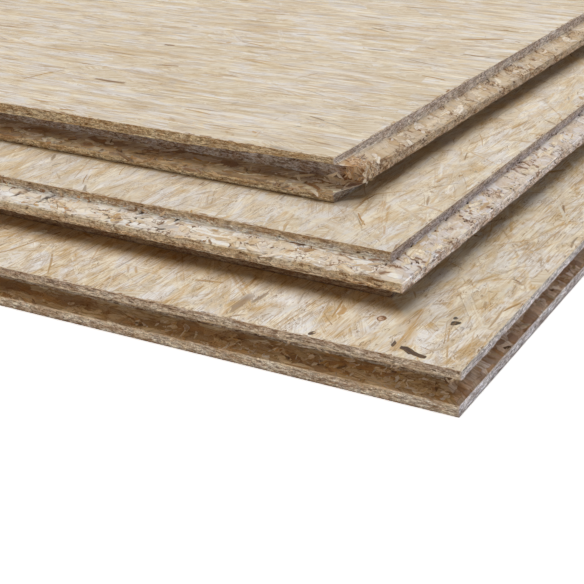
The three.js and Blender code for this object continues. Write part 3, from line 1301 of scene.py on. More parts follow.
@dataclass(frozen=True)
class StrandFinish:
    """Pressed softwood strands: soft cream wood with honey-coloured streaks and short brown dashes.

    Lie is the angle of the strands on the board, busy says how many dashes and streaks show, and warmth
    how strong the honey-coloured clouds are.
    """

    name: str
    lie: float = 0.0
    busy: float = 1.0
    warmth: float = 0.8
    pale: Colour = shade(230, 224, 213)
    cream: Colour = shade(214, 200, 177)
    honey: Colour = shade(200, 166, 112)
    fibre: Colour = shade(184, 154, 114)
    dash: Colour = shade(152, 120, 84)
    rim: Colour = shade(150, 116, 74)
    cloud: tuple[float, float] = (26, 12)
    grained: float = 0.6
    drawn_out: float = 14.0
    relief: float = 0.08
    overhang_shadow: OverhangShadow | None = None

    def material(self) -> bpy.types.Material:
        """Builds the finish: a ground common to the whole face, and over it each strand's own colour.

        The ground is noise drawn out along the lie. A strand shows its own colour in its middle and, unless
        it holds firm, fades into the ground at its rim.

        Returns:
            The material.
        """
        w = Wiring(self.name)
        tint, (_, _, _, hold) = w.layer("tint")
        _, (rim, lot, cross, tip) = w.layer("marks")
        grain = w.grain()
        place = w.millimetres()
        lain = w.node("VectorRotate", rotation_type="Z_AXIS")
        w.put(lain.inputs["Vector"], place)
        w.put(lain.inputs["Angle"], -self.lie)
        lain = lain.outputs[0]

        def streaks(vector: object, length: float, width: float, twist: float = 0.3,
                    detail: float = 3.0) -> bpy.types.NodeSocket:
            """Noise drawn out to streaks of that length and width in millimetres."""
            return w.noise(w.vector("MULTIPLY", vector, (1 / length, 1 / width, 0)), 1.0, detail, 0.62, twist, "2D")

        cloud, warm = streaks(lain, *self.cloud, 0.6), streaks(w.vector("ADD", lain, (310, 0, 0)), *self.cloud, 0.8)
        ground = w.mix(w.band(cloud, 0.34, 0.58), self.cream, self.pale)
        fine = streaks(lain, self.drawn_out, 0.8)
        honeyed = w.math("MULTIPLY", w.band(warm, 0.50, 0.70, 0.0, self.warmth), w.band(fine, 0.36, 0.58, 0.35, 1.0))
        ground = w.mix(honeyed, ground, self.honey)
        grained = w.band(streaks(lain, 36, 15, 0.9), 0.44, 0.60, 0.25, 1.0)
        ground = w.mix(w.math("MULTIPLY", w.band(fine, 0.46, 0.66, 0.0, self.grained), grained), ground, self.fibre)

        own_fine, own_broad = streaks(grain, 15, 0.8), streaks(grain, 40, 2.4)
        own = w.mix(w.math("MULTIPLY", w.band(own_broad, 0.50, 0.68), w.band(lot, 0.1, 0.9, 0.1, 0.8)), tint, self.honey)
        bleached = w.math("MULTIPLY", w.band(streaks(grain, 24, 1.0), 0.50, 0.64, 0.0, 0.55), w.band(hold, 0.2, 0.7, 1, 0))
        own = w.mix(bleached, own, self.cream)
        own = w.mix(w.math("MULTIPLY", w.band(own_fine, 0.46, 0.68, 0.0, self.grained),
                           w.band(lot, 0.35, 0.75, 0.3, 1.0)), own, self.fibre)
        edge = w.math("ABSOLUTE", w.math("MULTIPLY_ADD", cross, 2.0, -1.0))
        end = w.math("ABSOLUTE", w.math("MULTIPLY_ADD", tip, 2.0, -1.0))
        outer = w.math("MAXIMUM", w.band(edge, 0.35, 0.97), w.band(end, 0.55, 0.97))
        fibres = w.band(streaks(grain, 30, 1.5, 0.15), 0.38, 0.60, 0.25, 1.0)
        fibres = w.math("MAXIMUM", fibres, w.band(hold, 0.3, 0.6))
        shown = w.math("SUBTRACT", 1.0, w.math("MULTIPLY", outer, w.math("SUBTRACT", 1.0, hold)))
        shown = w.math("MULTIPLY", shown, fibres)
        colour = w.mix(w.math("MULTIPLY", shown, w.math("MULTIPLY_ADD", hold, 0.34, 0.66)), ground, own)

        busy_here = w.band(streaks(lain, 20, 8, 1.0), 0.42, 0.66, 0.0, self.busy)
        dash = w.math("MULTIPLY", w.band(streaks(lain, 4.5, 0.9, 1.2), 0.58, 0.68), busy_here)
        colour = w.mix(w.math("MULTIPLY", dash, 0.7), colour, self.dash)
        swirl = w.math("ABSOLUTE", w.math("SUBTRACT", streaks(lain, 9, 4, 1.6, 2.0), 0.5))
        scribble = w.math("MULTIPLY", w.band(swirl, 0.004, 0.022, 0.65, 0.0), busy_here)
        colour = w.mix(scribble, colour, self.rim)
        line = w.math("MULTIPLY", w.band(edge, 0.80, 0.95), w.band(rim, 0.3, 1.0, 0, 0.7 * self.busy))
        colour = w.mix(w.math("MULTIPLY", line, w.band(own_fine, 0.3, 0.6, 0.2, 1.0)), colour, self.rim)
        colour = w.cast(colour, w.band(streaks(lain, 24, 9, 0.9, 3.0), 0.37, 0.63), 0.036)
        # Painted shadow where the board above overhangs this one.
        if self.overhang_shadow:
            colour = self.overhang_shadow.over(w, place, colour)
        rough = w.band(own_fine, 0.2, 0.8, 0.5, 0.72)
        relief = w.math("ADD", w.math("MULTIPLY", own_fine, 0.6), fine)
        return w.finish(colour, rough, relief, self.relief)


@dataclass(frozen=True)
class MilledFinish:
    """A cut through the board: layers of strands, pale where the cut runs along them, dull and pitted across."""

    name: str
    layer: float = 1.15
    relief: float = 0.35

    def material(self) -> bpy.types.Material:
        """Builds the finish from a solid pattern of strand layers, with the body's own pits over it.

        Height plus two noises, in layer thicknesses, gives the layer. Each layer turns its pattern by its
        own angle, so a strand is a long cell of that layer. Where the cut stands upright, the layers show
        as short dashes instead.

        Returns:
            The material.
        """
        w = Wiring(self.name)
        tint, (_, _, _, greyed) = w.layer("tint")
        _, (pit, grooved, rim, arris) = w.layer("marks")
        place = w.millimetres()
        x, y, z = w.split(place)
        slow, quick = w.noise(place, 0.03, 1.0), w.noise(place, 0.14, 2.0)
        wave = w.math("ADD", w.math("MULTIPLY", slow, 3.4), w.math("MULTIPLY", quick, 1.6))
        level = w.math("DIVIDE", w.math("ADD", z, wave), self.layer)
        number = w.math("FLOOR", level)
        within = w.math("FRACT", level)
        dice = w.node("TexWhiteNoise", noise_dimensions="1D")
        w.put(dice.inputs["W"], number)
        turned = w.node("VectorRotate", rotation_type="Z_AXIS")
        w.put(turned.inputs["Vector"], w.combine(x, y))
        w.put(turned.inputs["Angle"], w.math("MULTIPLY_ADD", dice.outputs["Value"], 1.4, 0.87))
        shifted = w.vector("ADD", turned.outputs[0], w.combine(w.math("MULTIPLY", number, 37.7),
                                                               w.math("MULTIPLY", number, 11.3)))
        cell_at = w.vector("MULTIPLY", shifted, (1 / 42, 1 / 6.5, 0))
        own = w.split(w.cells(cell_at, "F1", "Color"))[0]
        seam = w.cells(cell_at, "DISTANCE_TO_EDGE", "Distance")
        chip_at = w.vector("MULTIPLY", shifted, (1 / 19, 1 / 5.2, 0))
        chip = w.cells(chip_at, "F1", "Color")
        gap = w.cells(chip_at, "DISTANCE_TO_EDGE", "Distance")
        slope = w.vector("DOT_PRODUCT", w.vector("SUBTRACT", chip_at, w.cells(chip_at, "F1", "Position")),
                         w.vector("SUBTRACT", chip, (0.5, 0.5, 0.5)))
        fibre = w.noise(w.vector("MULTIPLY", shifted, (0.07, 1.1, 0)), 1.0, 4.0, 0.62, 0.3, "2D")
        grit = w.noise(place, 1.5, 4.0, 0.7)
        lying = w.math("ABSOLUTE", w.split(w.node("NewGeometry").outputs["Normal"])[2])
        open_wood = w.ramp(own, [(0, shade(252, 246, 237)), (0.45, shade(249, 240, 228)),
                                 (0.78, shade(243, 230, 212)), (1.0, shade(232, 212, 186))])
        deep_chip = w.ramp(w.split(chip)[0], [(0, shade(252, 240, 220)), (0.28, shade(214, 190, 156)),
                                              (0.5, shade(150, 114, 78)), (0.68, shade(236, 216, 184)),
                                              (0.84, shade(196, 150, 92)), (1.0, shade(132, 92, 58))])
        open_wood = w.mix(w.math("MULTIPLY", grooved, 0.85), open_wood, deep_chip)
        calm = w.math("MULTIPLY_ADD", grooved, -0.45, 1.0)
        open_wood = w.mix(w.band(fibre, 0.48, 0.70, 0.0, 0.55), open_wood, shade(212, 184, 154))
        open_wood = w.mix(w.math("MULTIPLY", grooved, w.band(fibre, 0.46, 0.64, 0.0, 0.5)), open_wood,
                          shade(160, 122, 84))
        crack = w.math("MULTIPLY", w.band(seam, 0.008, 0.045, 1.0, 0.0), w.band(quick, 0.49, 0.62, 0.0, 0.9))
        crack = w.math("MULTIPLY", crack, calm)
        open_wood = w.mix(w.math("MULTIPLY", crack, 0.85), open_wood, shade(138, 98, 62))
        open_wood = w.mix(w.band(w.split(chip)[2], 0.7, 1.0, 0.0, 0.5), open_wood, shade(222, 196, 164))
        torn = w.math("MULTIPLY", w.band(w.noise(place, 0.085, 2.0), 0.53, 0.63), calm)
        halo = w.math("MULTIPLY", w.band(gap, 0.02, 0.30, 0.55, 0.0), torn)
        open_wood = w.mix(halo, open_wood, shade(206, 160, 106))
        split = w.math("MULTIPLY", w.band(gap, 0.03, 0.16, 1.0, 0.0), torn)
        open_wood = w.mix(w.math("MULTIPLY", split, 0.8), open_wood, shade(134, 92, 56))
        clump = w.math("MULTIPLY", w.band(w.noise(place, 0.055, 2.0, 0.5), 0.54, 0.64), calm)
        spots = w.noise(w.vector("MULTIPLY", place, (1, 1, 1.6)), 0.72, 3.0, 0.68, 0.6)
        open_wood = w.mix(w.math("MULTIPLY", w.band(spots, 0.46, 0.56, 0.0, 0.6), clump), open_wood,
                          shade(166, 118, 74))
        flaw = w.math("MULTIPLY", w.band(spots, 0.54, 0.62), clump)
        open_wood = w.mix(w.math("MULTIPLY", flaw, 0.9), open_wood, shade(100, 68, 42))

        run = w.grain()
        dash = w.noise(w.vector("MULTIPLY", run, (0.32, 1.15, 0)), 1.0, 5.0, 0.74, 0.6, "2D")
        cut = w.ramp(dash, [(0.34, shade(70, 52, 40)), (0.42, shade(140, 120, 104)), (0.50, shade(206, 190, 176)),
                            (0.57, shade(236, 225, 213)), (0.67, shade(250, 244, 236))])
        side_cut = w.ramp(own, [(0, shade(236, 226, 214)), (0.4, shade(224, 210, 194)), (0.7, shade(206, 188, 168)),
                                (1, shade(150, 128, 108))])
        upright = w.mix(0.22, cut, side_cut)
        stretch = w.noise(w.vector("MULTIPLY", run, (0.055, 0.28, 0)), 1.0, 2.0, 0.5, 0.3, "2D")
        upright = w.mix(w.band(stretch, 0.48, 0.66, 0.0, 0.5), upright, shade(170, 136, 104))
        dots = w.noise(w.vector("MULTIPLY", run, (0.24, 1.3, 0)), 1.0, 3.0, 0.65, 0.8, "2D")
        dots = w.math("MULTIPLY", w.band(dots, 0.55, 0.64), w.band(stretch, 0.40, 0.60, 0.35, 1.0))
        rust = w.band(w.noise(w.vector("MULTIPLY", run, (0.16, 0.5, 0)), 1.0, 3.0, 0.6, 0.6, "2D"), 0.56, 0.68, 0.0, 0.35)
        upright = w.mix(rust, upright, shade(176, 124, 82))
        upright = w.mix(dots, upright, shade(84, 58, 40))
        upright = w.mix(w.band(grit, 0.46, 0.62, 0.0, 0.45), upright, shade(108, 90, 76))
        flecked = w.noise(w.vector("MULTIPLY", run, (0.5, 1.1, 0)), 1.0, 3.0, 0.65, 0.4, "2D")
        mottle = w.math("MULTIPLY", w.band(w.noise(place, 0.07, 2.0), 0.44, 0.58, 0.1, 0.9),
                        w.math("MULTIPLY_ADD", grooved, -0.55, 1.0))
        upright = w.mix(w.math("MULTIPLY", w.band(flecked, 0.44, 0.54, 0.0, 0.75), mottle), upright,
                        shade(184, 136, 88))
        upright = w.mix(w.math("MULTIPLY", w.band(flecked, 0.53, 0.61, 0.0, 0.9), mottle), upright, shade(92, 60, 36))
        hollow = w.noise(w.vector("MULTIPLY", run, (0.15, 0.6, 0)), 1.0, 4.0, 0.62, 0.9, "2D")
        on_nose = w.math("MULTIPLY", w.band(rim, 0.0, 0.12), w.math("SUBTRACT", 1.0, grooved))
        tongued = w.math("MULTIPLY_ADD", on_nose, 0.5, w.math("MULTIPLY_ADD", grooved, -0.1, 0.5))
        upright = w.mix(w.math("MULTIPLY", w.band(hollow, 0.32, 0.43, 0.7, 0.0), tongued), upright, shade(250, 242, 230))
        upright = w.mix(w.math("MULTIPLY", w.band(hollow, 0.54, 0.63, 0.0, 0.85), tongued), upright, shade(92, 62, 38))
        ragged = w.math("MULTIPLY", rim, w.band(grit, 0.34, 0.60, 0.15, 1.0))
        lip = w.math("MULTIPLY", w.band(rim, 0.0, 0.12, 0.16, 0.0), w.math("SUBTRACT", 1.0, grooved))
        upright = w.mix(lip, upright, shade(196, 180, 164))
        shows = w.math("MAXIMUM", w.band(lying, 0.3, 0.85), w.math("MULTIPLY", ragged, 0.85))
        colour = w.mix(shows, upright, open_wood)
        pocket = w.noise(w.vector("MULTIPLY", run, (0.30, 0.72, 0)), 1.0, 3.0, 0.6, 0.7, "2D")
        crowd = w.band(w.noise(place, 0.05, 2.0), 0.40, 0.60, 0.15, 1.0)
        nosed = w.math("MULTIPLY", w.band(lying, 0.35, 0.75, 1.0, 0.0), w.math("MULTIPLY", on_nose, crowd))
        colour = w.mix(w.math("MULTIPLY", w.band(pocket, 0.54, 0.61, 0.0, 0.8), nosed), colour, shade(98, 64, 38))
        joint = w.math("MULTIPLY", w.band(w.math("ABSOLUTE", w.math("SUBTRACT", within, 0.5)), 0.40, 0.5),
                       w.band(quick, 0.4, 0.65, 0.05, 0.5))
        colour = w.mix(joint, colour, shade(124, 94, 66))
        colour = w.mix(w.math("MULTIPLY", w.band(pit, 0.15, 0.8), 0.85), colour, shade(72, 48, 30))
        colour = w.mix(w.math("MULTIPLY", arris, w.band(dash, 0.35, 0.6, 0.7, 0.1)), colour, shade(150, 108, 66))
        colour = w.cast(colour, w.band(w.noise(place, 0.16, 4.0, 0.6), 0.37, 0.63), 0.024)
        # Greys the colour by the side's share, then multiplies in the tint, the side's painted light and shade.
        colour = w.mix(greyed, colour, w.node("RGBToBW", colour).outputs[0])
        colour = w.mix(1.0, colour, tint, "MULTIPLY")
        facing = w.math("MULTIPLY", arris, w.band(lying, 0.9, 0.99))
        face = w.mix(w.band(fibre, 0.40, 0.62), shade(228, 218, 201), shade(208, 188, 156))
        colour = w.mix(facing, colour, face)
        rough = w.band(grit, 0.3, 0.7, 0.72, 0.92)
        relief = w.math("ADD", w.math("MULTIPLY", fibre, -0.5), w.math("MULTIPLY", grit, 0.8))
        relief = w.math("SUBTRACT", relief, w.math("MULTIPLY", w.math("MAXIMUM", crack, split), 0.8))
        relief = w.math("ADD", relief, w.math("MULTIPLY", slope, w.math("MULTIPLY", lying, 6.0)))
        return w.finish(colour, rough, relief, self.relief, 0.2)


@dataclass(frozen=True)
class FloorFinish:
    """A pale studio floor: white to the camera, with only the boards' own shadow left on it.

    Glow is the light that it adds of itself beside the boards, and far glow is the same past their shadow,
    from the first far run to the second, in millimetres from the middle.
    """

    name: str = "studio_floor"
    glow: float = 0.7
    far_glow: float = 1.0
    far_run: tuple[float, float] = (1600, 3000)

    def material(self) -> bpy.types.Material:
        """A white matt floor, to which camera and mirror rays add a plain glow."""
        w = Wiring(self.name)
        w.put(w.shader.inputs["Base Color"], (0.95, 0.95, 0.95))
        w.put(w.shader.inputs["Roughness"], 0.9)
        path = w.node("LightPath").outputs
        seen = w.math("MINIMUM", w.math("ADD", w.math("ADD", path["Is Camera Ray"], path["Is Glossy Ray"]),
                                        path["Is Transmission Ray"]), 1.0)
        w.put(w.shader.inputs["Emission Color"], (1, 1, 1))
        glow = w.band(w.vector("LENGTH", w.millimetres()), *self.far_run, self.glow, self.far_glow)
        w.put(w.shader.inputs["Emission Strength"], w.math("MULTIPLY", seen, glow))
        return w.material


# ---------------------------------------------------------------- studio


@dataclass(frozen=True)
class Lamp:
    """A soft rectangular lamp aimed at a point, both places in metres."""

    name: str
    place: tuple[float, float, float]
    aim: tuple[float, float, float]
    size: tuple[float, float]
    watts: float
    colour: Colour = (1.0, 1.0, 1.0)

    def hang(self) -> bpy.types.Object:
        """Adds the lamp to the scene."""
        data = bpy.data.lights.new(self.name, "AREA")
        data.shape = "RECTANGLE"
        data.size, data.size_y = self.size
        data.energy, data.color = self.watts, self.colour
        lamp = bpy.data.objects.new(self.name, data)
        lamp.location = self.place
        lamp.rotation_euler = (Vector(self.aim) - Vector(self.place)).to_track_quat("-Z", "Y").to_euler()
        bpy.context.scene.collection.objects.link(lamp)
        lamp.visible_camera = False
        return lamp


@dataclass(frozen=True)
class Studio:
    """Camera, floor and soft light round the near corner of the stack."""

    eye: tuple[float, float, float] = (-1.5002, -0.5642, 0.26549)
    heading: tuple[float, float] = (0.8546, 0.5193)
    pitch: float = math.radians(24.93)
    roll: float = math.radians(-2.57)
    focal: float = 79.62
    sensor: float = 36.0
    sky: float = 0.04
    sky_colour: Colour = (1.0, 0.82, 0.62)
    lamps: tuple[Lamp, ...] = (
        Lamp("overhead_softbox", (-0.70, 0.02, 1.9), (-0.75, -0.05, 0.05), (1.9, 1.9), 39.5, (1.0, 0.985, 0.965)),
        Lamp("left_softbox", (-2.40, -0.25, 0.24), (-1.05, -0.25, 0.03), (1.2, 0.4), 4.3, (1.0, 0.83, 0.65)),
        Lamp("right_softbox", (-0.90, -1.80, 0.24), (-0.90, -0.38, 0.03), (1.2, 0.4), 6.2, (0.84, 0.93, 1.0)),
        Lamp("rear_overhead_softbox", (1.0, 0.05, 1.2), (1.0, 0.05, 0.05), (0.9, 0.9), 7.0, (1.0, 0.985, 0.965)),
        Lamp("far_end_softbox", (2.50, 0.10, 0.40), (1.08, 0.0, 0.02), (1.2, 0.4), 3.5),
        Lamp("back_softbox", (0.30, 1.90, 0.36), (0.30, 0.38, 0.02), (1.8, 0.3), 3.2),
    )

    def camera(self) -> bpy.types.Object:
        """The camera: level heading tipped down by the pitch, then rolled about its own line of sight."""
        ahead, right = Vector((*self.heading, 0)), Vector((self.heading[1], -self.heading[0], 0))
        up = Vector((0, 0, 1))
        forward = ahead * math.cos(self.pitch) - up * math.sin(self.pitch)
        upward = ahead * math.sin(self.pitch) + up * math.cos(self.pitch)
        side = right * math.cos(self.roll) + upward * math.sin(self.roll)
        crown = upward * math.cos(self.roll) - right * math.sin(self.roll)
        data = bpy.data.cameras.new("view_camera")
        data.sensor_fit, data.sensor_width, data.lens = "HORIZONTAL", self.sensor, self.focal
        data.clip_start, data.clip_end = 0.01, 50.0
        camera = bpy.data.objects.new("view_camera", data)
        turn = Matrix((side, crown, -forward)).transposed().to_4x4()
        camera.matrix_world = Matrix.Translation(self.eye) @ turn
        bpy.context.scene.collection.objects.link(camera)
        bpy.context.scene.camera = camera
        return camera

    def floor(self) -> bpy.types.Object:
        """A broad floor under the stack, lightly dished at its far rim so that it is no bare rectangle."""
        across = np.linspace(-1, 1, 41)
        x, y = np.meshgrid(across, across, indexing="ij")
        rim = ease(np.hypot(x, y), 0.7, 1.4)
        points = np.stack([x * 12, y * 12, -0.0002 - 0.02 * rim], -1).reshape(-1, 3)
        mesh = bpy.data.meshes.new("floor")
        mesh.from_pydata(points.tolist(), [], grid_quads(41, 41)[:, ::-1].tolist())
        mesh.materials.append(FloorFinish().material())
        floor = bpy.data.objects.new("floor", mesh)
        bpy.context.scene.collection.objects.link(floor)
        return floor

    def world(self) -> None:
        """An even sky that lights the boards and shows pure white behind them."""
        world = bpy.data.worlds.new("studio")
        world.use_nodes = True
        tree = world.node_tree
        tree.nodes.clear()
        light, seen = tree.nodes.new("ShaderNodeBackground"), tree.nodes.new("ShaderNodeBackground")
        light.inputs[0].default_value, light.inputs[1].default_value = (*self.sky_colour, 1), self.sky
        seen.inputs[0].default_value, seen.inputs[1].default_value = (1, 1, 1, 1), 1.0
        path, mixer = tree.nodes.new("ShaderNodeLightPath"), tree.nodes.new("ShaderNodeMixShader")
        out = tree.nodes.new("ShaderNodeOutputWorld")
        tree.links.new(path.outputs["Is Camera Ray"], mixer.inputs[0])
        tree.links.new(light.outputs[0], mixer.inputs[1])
        tree.links.new(seen.outputs[0], mixer.inputs[2])
        tree.links.new(mixer.outputs[0], out.inputs[0])
        bpy.context.scene.world = world

    def build(self) -> None:
        """Camera, world, floor and lamps."""
        bpy.context.scene.view_settings.view_transform = "Standard"
        self.camera()
        self.world()
        self.floor()
        for lamp in self.lamps:
            lamp.hang()


# ---------------------------------------------------------------- the stack


@dataclass
class Board:
    """A whole board: body, strands on its open faces, and flakes along its edges."""

    panel: Panel
    seed: int
    faces: Sequence[FaceStrands]
    flakes: Sequence[FlakeZone]
    strand: StrandFinish
    looks: Sequence[EdgeLook]

    def build(self, milled: bpy.types.Material) -> None:
        """Makes the board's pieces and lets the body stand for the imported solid."""
        strand = self.strand.material()
        shape = BoardBody(self.panel, self.seed, looks=self.looks).shape()
        body = shape.make(f"{self.panel.name}_body", milled, math.radians(50))
        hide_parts(self.panel.node)
        for face in self.faces:
            label = "upper" if face.side is FaceSide.UPPER else "lower"
            face.shape().make(f"{self.panel.name}_{label}_strands", strand, math.radians(15))
        if self.flakes:
            flakes = EdgeFlakes(self.panel, self.flakes, self.seed + 50).shape()
            flakes.make(f"{self.panel.name}_flakes", strand, math.radians(25))


class Stack:
    """The three boards, each set back and turned a little from the one below."""

    middle_step = (48.4, 54.2)
    middle_turn = math.radians(-1.23)
    top_step = (40.2, 51.6)
    top_turn = math.radians(-1.05)
    # Tints of the near sides, painted light and shade on each; see EdgeLook.
    bottom_front = EdgeLook(
        head=(1.50, 1.41, 1.35), foot=(1.53, 1.43, 1.49), sole=(1.75, 1.78, 1.95), deep=(1.25, 1.27, 1.43),
        floor=(0.50, 0.45, 0.41), crease=(0.65, 0.65, 0.65), flank=(0.80, 0.80, 0.80), nose=(0.80, 0.80, 0.80), greyed=0.80)
    bottom_left = EdgeLook(
        head=(1.07, 1.02, 0.93), foot=(1.155, 1.155, 1.06), sole=(1.56, 1.70, 1.73), deep=(1.06, 0.99, 0.82),
        floor=(0.78, 0.81, 0.80), crease=(0.68, 0.69, 0.75), flank=(0.80, 0.80, 0.80), nose=(0.80, 0.80, 0.80), greyed=0.15)
    middle_front = EdgeLook(
        head=(1.13, 1.05, 1.01), foot=(0.97, 0.93, 1.01), sole=(0.72, 0.72, 0.72), deep=(0.64, 0.56, 0.48),
        floor=(0.64, 0.56, 0.48), flank=(0.83, 0.83, 0.88), nose=(1.38, 1.41, 1.54), root=1.6, greyed=0.35)
    middle_left = EdgeLook(
        head=(1.07, 1.02, 0.84), foot=(1.28, 1.46, 1.57), sole=(0.72, 0.64, 0.56), deep=(0.54, 0.47, 0.39),
        floor=(0.72, 0.64, 0.52), flank=(0.97, 1.01, 1.05), nose=(1.08, 1.07, 0.95))
    top_front = EdgeLook(
        head=(1.31, 1.27, 1.29), foot=(1.31, 1.26, 1.21), sole=(0.72, 0.72, 0.72), deep=(0.74, 0.73, 0.72),
        floor=(0.74, 0.73, 0.72), flank=(0.72, 0.65, 0.55), nose=(0.91, 0.82, 0.70), root=2.0, greyed=0.35)
    top_left = EdgeLook(
        head=(1.10, 0.98, 0.61), foot=(1.03, 0.96, 0.66), sole=(1.26, 1.26, 1.05), deep=(1.33, 1.45, 1.44),
        floor=(0.71, 0.75, 0.86), crease=(0.475, 0.42, 0.467), flank=(0.80, 0.80, 0.80), nose=(0.80, 0.80, 0.80),
        contact_shade=0.40)
    bark, soot, ochre = shade(74, 54, 44), shade(50, 44, 42), shade(192, 150, 92)
    grey, brown, tan, pale = shade(140, 130, 120), shade(138, 104, 70), shade(186, 156, 116), shade(232, 226, 214)
    bottom_flecks = (
        Fleck(15.3, 112.0, -1, 22, 5.0, shade(160, 138, 116), 0.4, 0.6), Fleck(5.5, 113.5, 8, 9, 3.4, ochre, 0.5, 0.2),
        Fleck(23.6, 107.2, -5, 13, 2.4, shade(160, 144, 126), 0.3, 0.6), Fleck(18.4, 86.3, -2, 34, 1.0, ochre),
        Fleck(17, 92.5, -38, 20, 7.5, pale, 0, 0.3), Fleck(9, 99.5, -16, 13, 4.0, shade(206, 176, 138)),
        Fleck(20, 62, 6, 32, 8.0, pale, 0, 0.2), Fleck(12, 41, 3, 36, 6.0, pale, 0.3, 0.2),
        Fleck(16.5, 84.0, -2, 34, 0.9, tan), Fleck(18, 80.6, 2, 20, 0.8, tan), Fleck(13, 80.9, 4, 3.4, 1.4, brown),
        Fleck(19.5, 67.9, 10, 7, 1.0, tan), Fleck(27.8, 67.6, 11, 10.5, 3.2, ochre, 0.4, 0.6),
        Fleck(19.4, 72.3, 10, 3.4, 1.8, ochre), Fleck(26.6, 73.8, 6, 8, 3.0, tan), Fleck(25, 72, -20, 4.3, 1.2, grey),
        Fleck(3.7, 69.2, -20, 4.4, 2.9, bark, 0, 0.9, True), Fleck(4.7, 68.6, -20, 2.0, 1.1, tan, 0, 0.5, True),
        Fleck(9.4, 103.7, 50, 4.6, 1.2, brown), Fleck(11.8, 104.8, 0, 2.6, 1.6, brown),
        Fleck(22.3, 103.7, 40, 2.6, 1.3, brown), Fleck(19.4, 96.9, -30, 3.4, 2.4, grey),
        Fleck(28.7, 95.2, -8, 5.4, 1.8, tan), Fleck(31.2, 122.6, 30, 3.6, 2.6, brown, 0, 0.1, True),
        Fleck(9.8, 118.4, 20, 3.2, 2.2, grey), Fleck(12.6, 125.5, 34, 5.0, 1.2, brown),
        Fleck(14, 134, -42, 34, 1.0, tan), Fleck(22, 158, 8, 30, 1.2, ochre), Fleck(28, 186, -3, 26, 2.2, brown),
        Fleck(14, 168, 66, 44, 1.0, tan), Fleck(30, 205, 24, 30, 1.6, ochre), Fleck(20, 228, -20, 26, 1.6, tan),
        Fleck(28.4, 49.6, 8, 7.6, 6.6, shade(204, 166, 112), 0, 0.2, True),
        Fleck(28.6, 49.2, 0, 5.2, 4.4, shade(128, 86, 52), 0, 1.0, True),
        Fleck(28.3, 49.3, 20, 3.5, 2.7, shade(206, 174, 146), 0, 0.9, True),
        Fleck(28.9, 49.0, 0, 1.3, 1.1, shade(140, 100, 66), 0, 1.0, True),
        Fleck(15, 28.6, 14, 24, 4.2, shade(212, 184, 146), 0.4), Fleck(4.9, 20.9, 78, 7.6, 2.8, bark, -0.4, 1.0),
        Fleck(7.3, 26.9, 61, 9.6, 3.6, bark, 0.3, 1.0), Fleck(9.6, 34.2, 2, 4.8, 1.8, bark, 0, 0.9),
        Fleck(24.2, 33.6, 7.6, 49, 3.0, ochre, 0.7, 0.4), Fleck(22, 32.6, 8, 40, 0.7, brown, 0.5),
        Fleck(38, 19.5, -38, 5.2, 3.8, shade(40, 36, 36), 0, 1.0, True), Fleck(42.2, 21, 10, 2.8, 2.2, soot, 0, 0.8, True),
        Fleck(35, 14.5, 60, 3.0, 1.8, grey), Fleck(11.6, 16.8, -33, 7, 2.2, tan), Fleck(17, 14.6, -16, 7, 1.0, tan),
        Fleck(23, 14, 0, 3.0, 2.0, brown), Fleck(8.8, 1.7, -10, 3.4, 2.2, ochre), Fleck(15.7, 1.9, 0, 2.6, 2, ochre),
        Fleck(34.5, 3.4, 0, 8, 4.6, shade(206, 172, 108)), Fleck(41, 1.9, 2, 7, 1.8, tan),
        Fleck(47, 8, -8, 9, 2.2, ochre), Fleck(34, 10.6, -14, 9, 3, tan), Fleck(57, 15, 8, 12, 3.4, ochre),
        Fleck(88.6, 11.7, 60, 6.5, 1.2, brown, 0.4, 0.6), Fleck(91.2, 13.8, 38, 4.6, 1.0, bark, 0.2, 0.4),
        Fleck(86.4, 9.6, 72, 5.4, 1.5, shade(156, 116, 72), 0, 0.5), Fleck(93.5, 10.4, 80, 4, 1.0, brown, 0, 0.3),
        Fleck(68.3, 20, 22, 6, 1.4, brown, 0, 0.5), Fleck(70.6, 22.4, 52, 4.4, 1.1, shade(156, 116, 72), 0, 0.5),
        Fleck(65.8, 18.2, -12, 5, 1.7, ochre, 0, 0.4), Fleck(72.8, 18.4, 80, 3.6, 1.0, brown, 0, 0.4),
        Fleck(52.5, 32.5, -50, 9, 2.0, shade(164, 128, 82), 0, 0.3), Fleck(80, 27.5, -27.3, 67, 1.5, ochre, 1.0, 0.3),
        Fleck(95, 20, -24, 12, 1.6, shade(168, 132, 84)), Fleck(83, 24, -45, 36, 1.0, tan),
        Fleck(129, 29.5, -42, 26, 2.8, ochre, 0.6, 0.3), Fleck(141, 21, -14, 50, 1.8, ochre, 0.6, 0.3),
        Fleck(128, 24, -10, 13, 3.4, ochre), Fleck(77, 8.6, 10, 15, 2.8, shade(172, 136, 82)),
        Fleck(80, 9.6, 4, 9, 1.2, brown), Fleck(59.5, 15, 16, 9, 2.4, shade(160, 128, 88)),
        Fleck(72.5, 21, 12, 9, 3.2, ochre), Fleck(62.5, 27.6, 32, 6.4, 1.2, shade(164, 128, 82)),
        Fleck(95, 32.6, -4, 24, 1.2, ochre), Fleck(112, 36.5, -10, 24, 1.8, ochre), Fleck(119, 8, 16, 16, 1.6, ochre),
        Fleck(158, 32, -8, 16, 4, ochre), Fleck(152, 14, -6, 24, 3.0, ochre), Fleck(115, 19, 0, 12, 3.6, tan),
    )
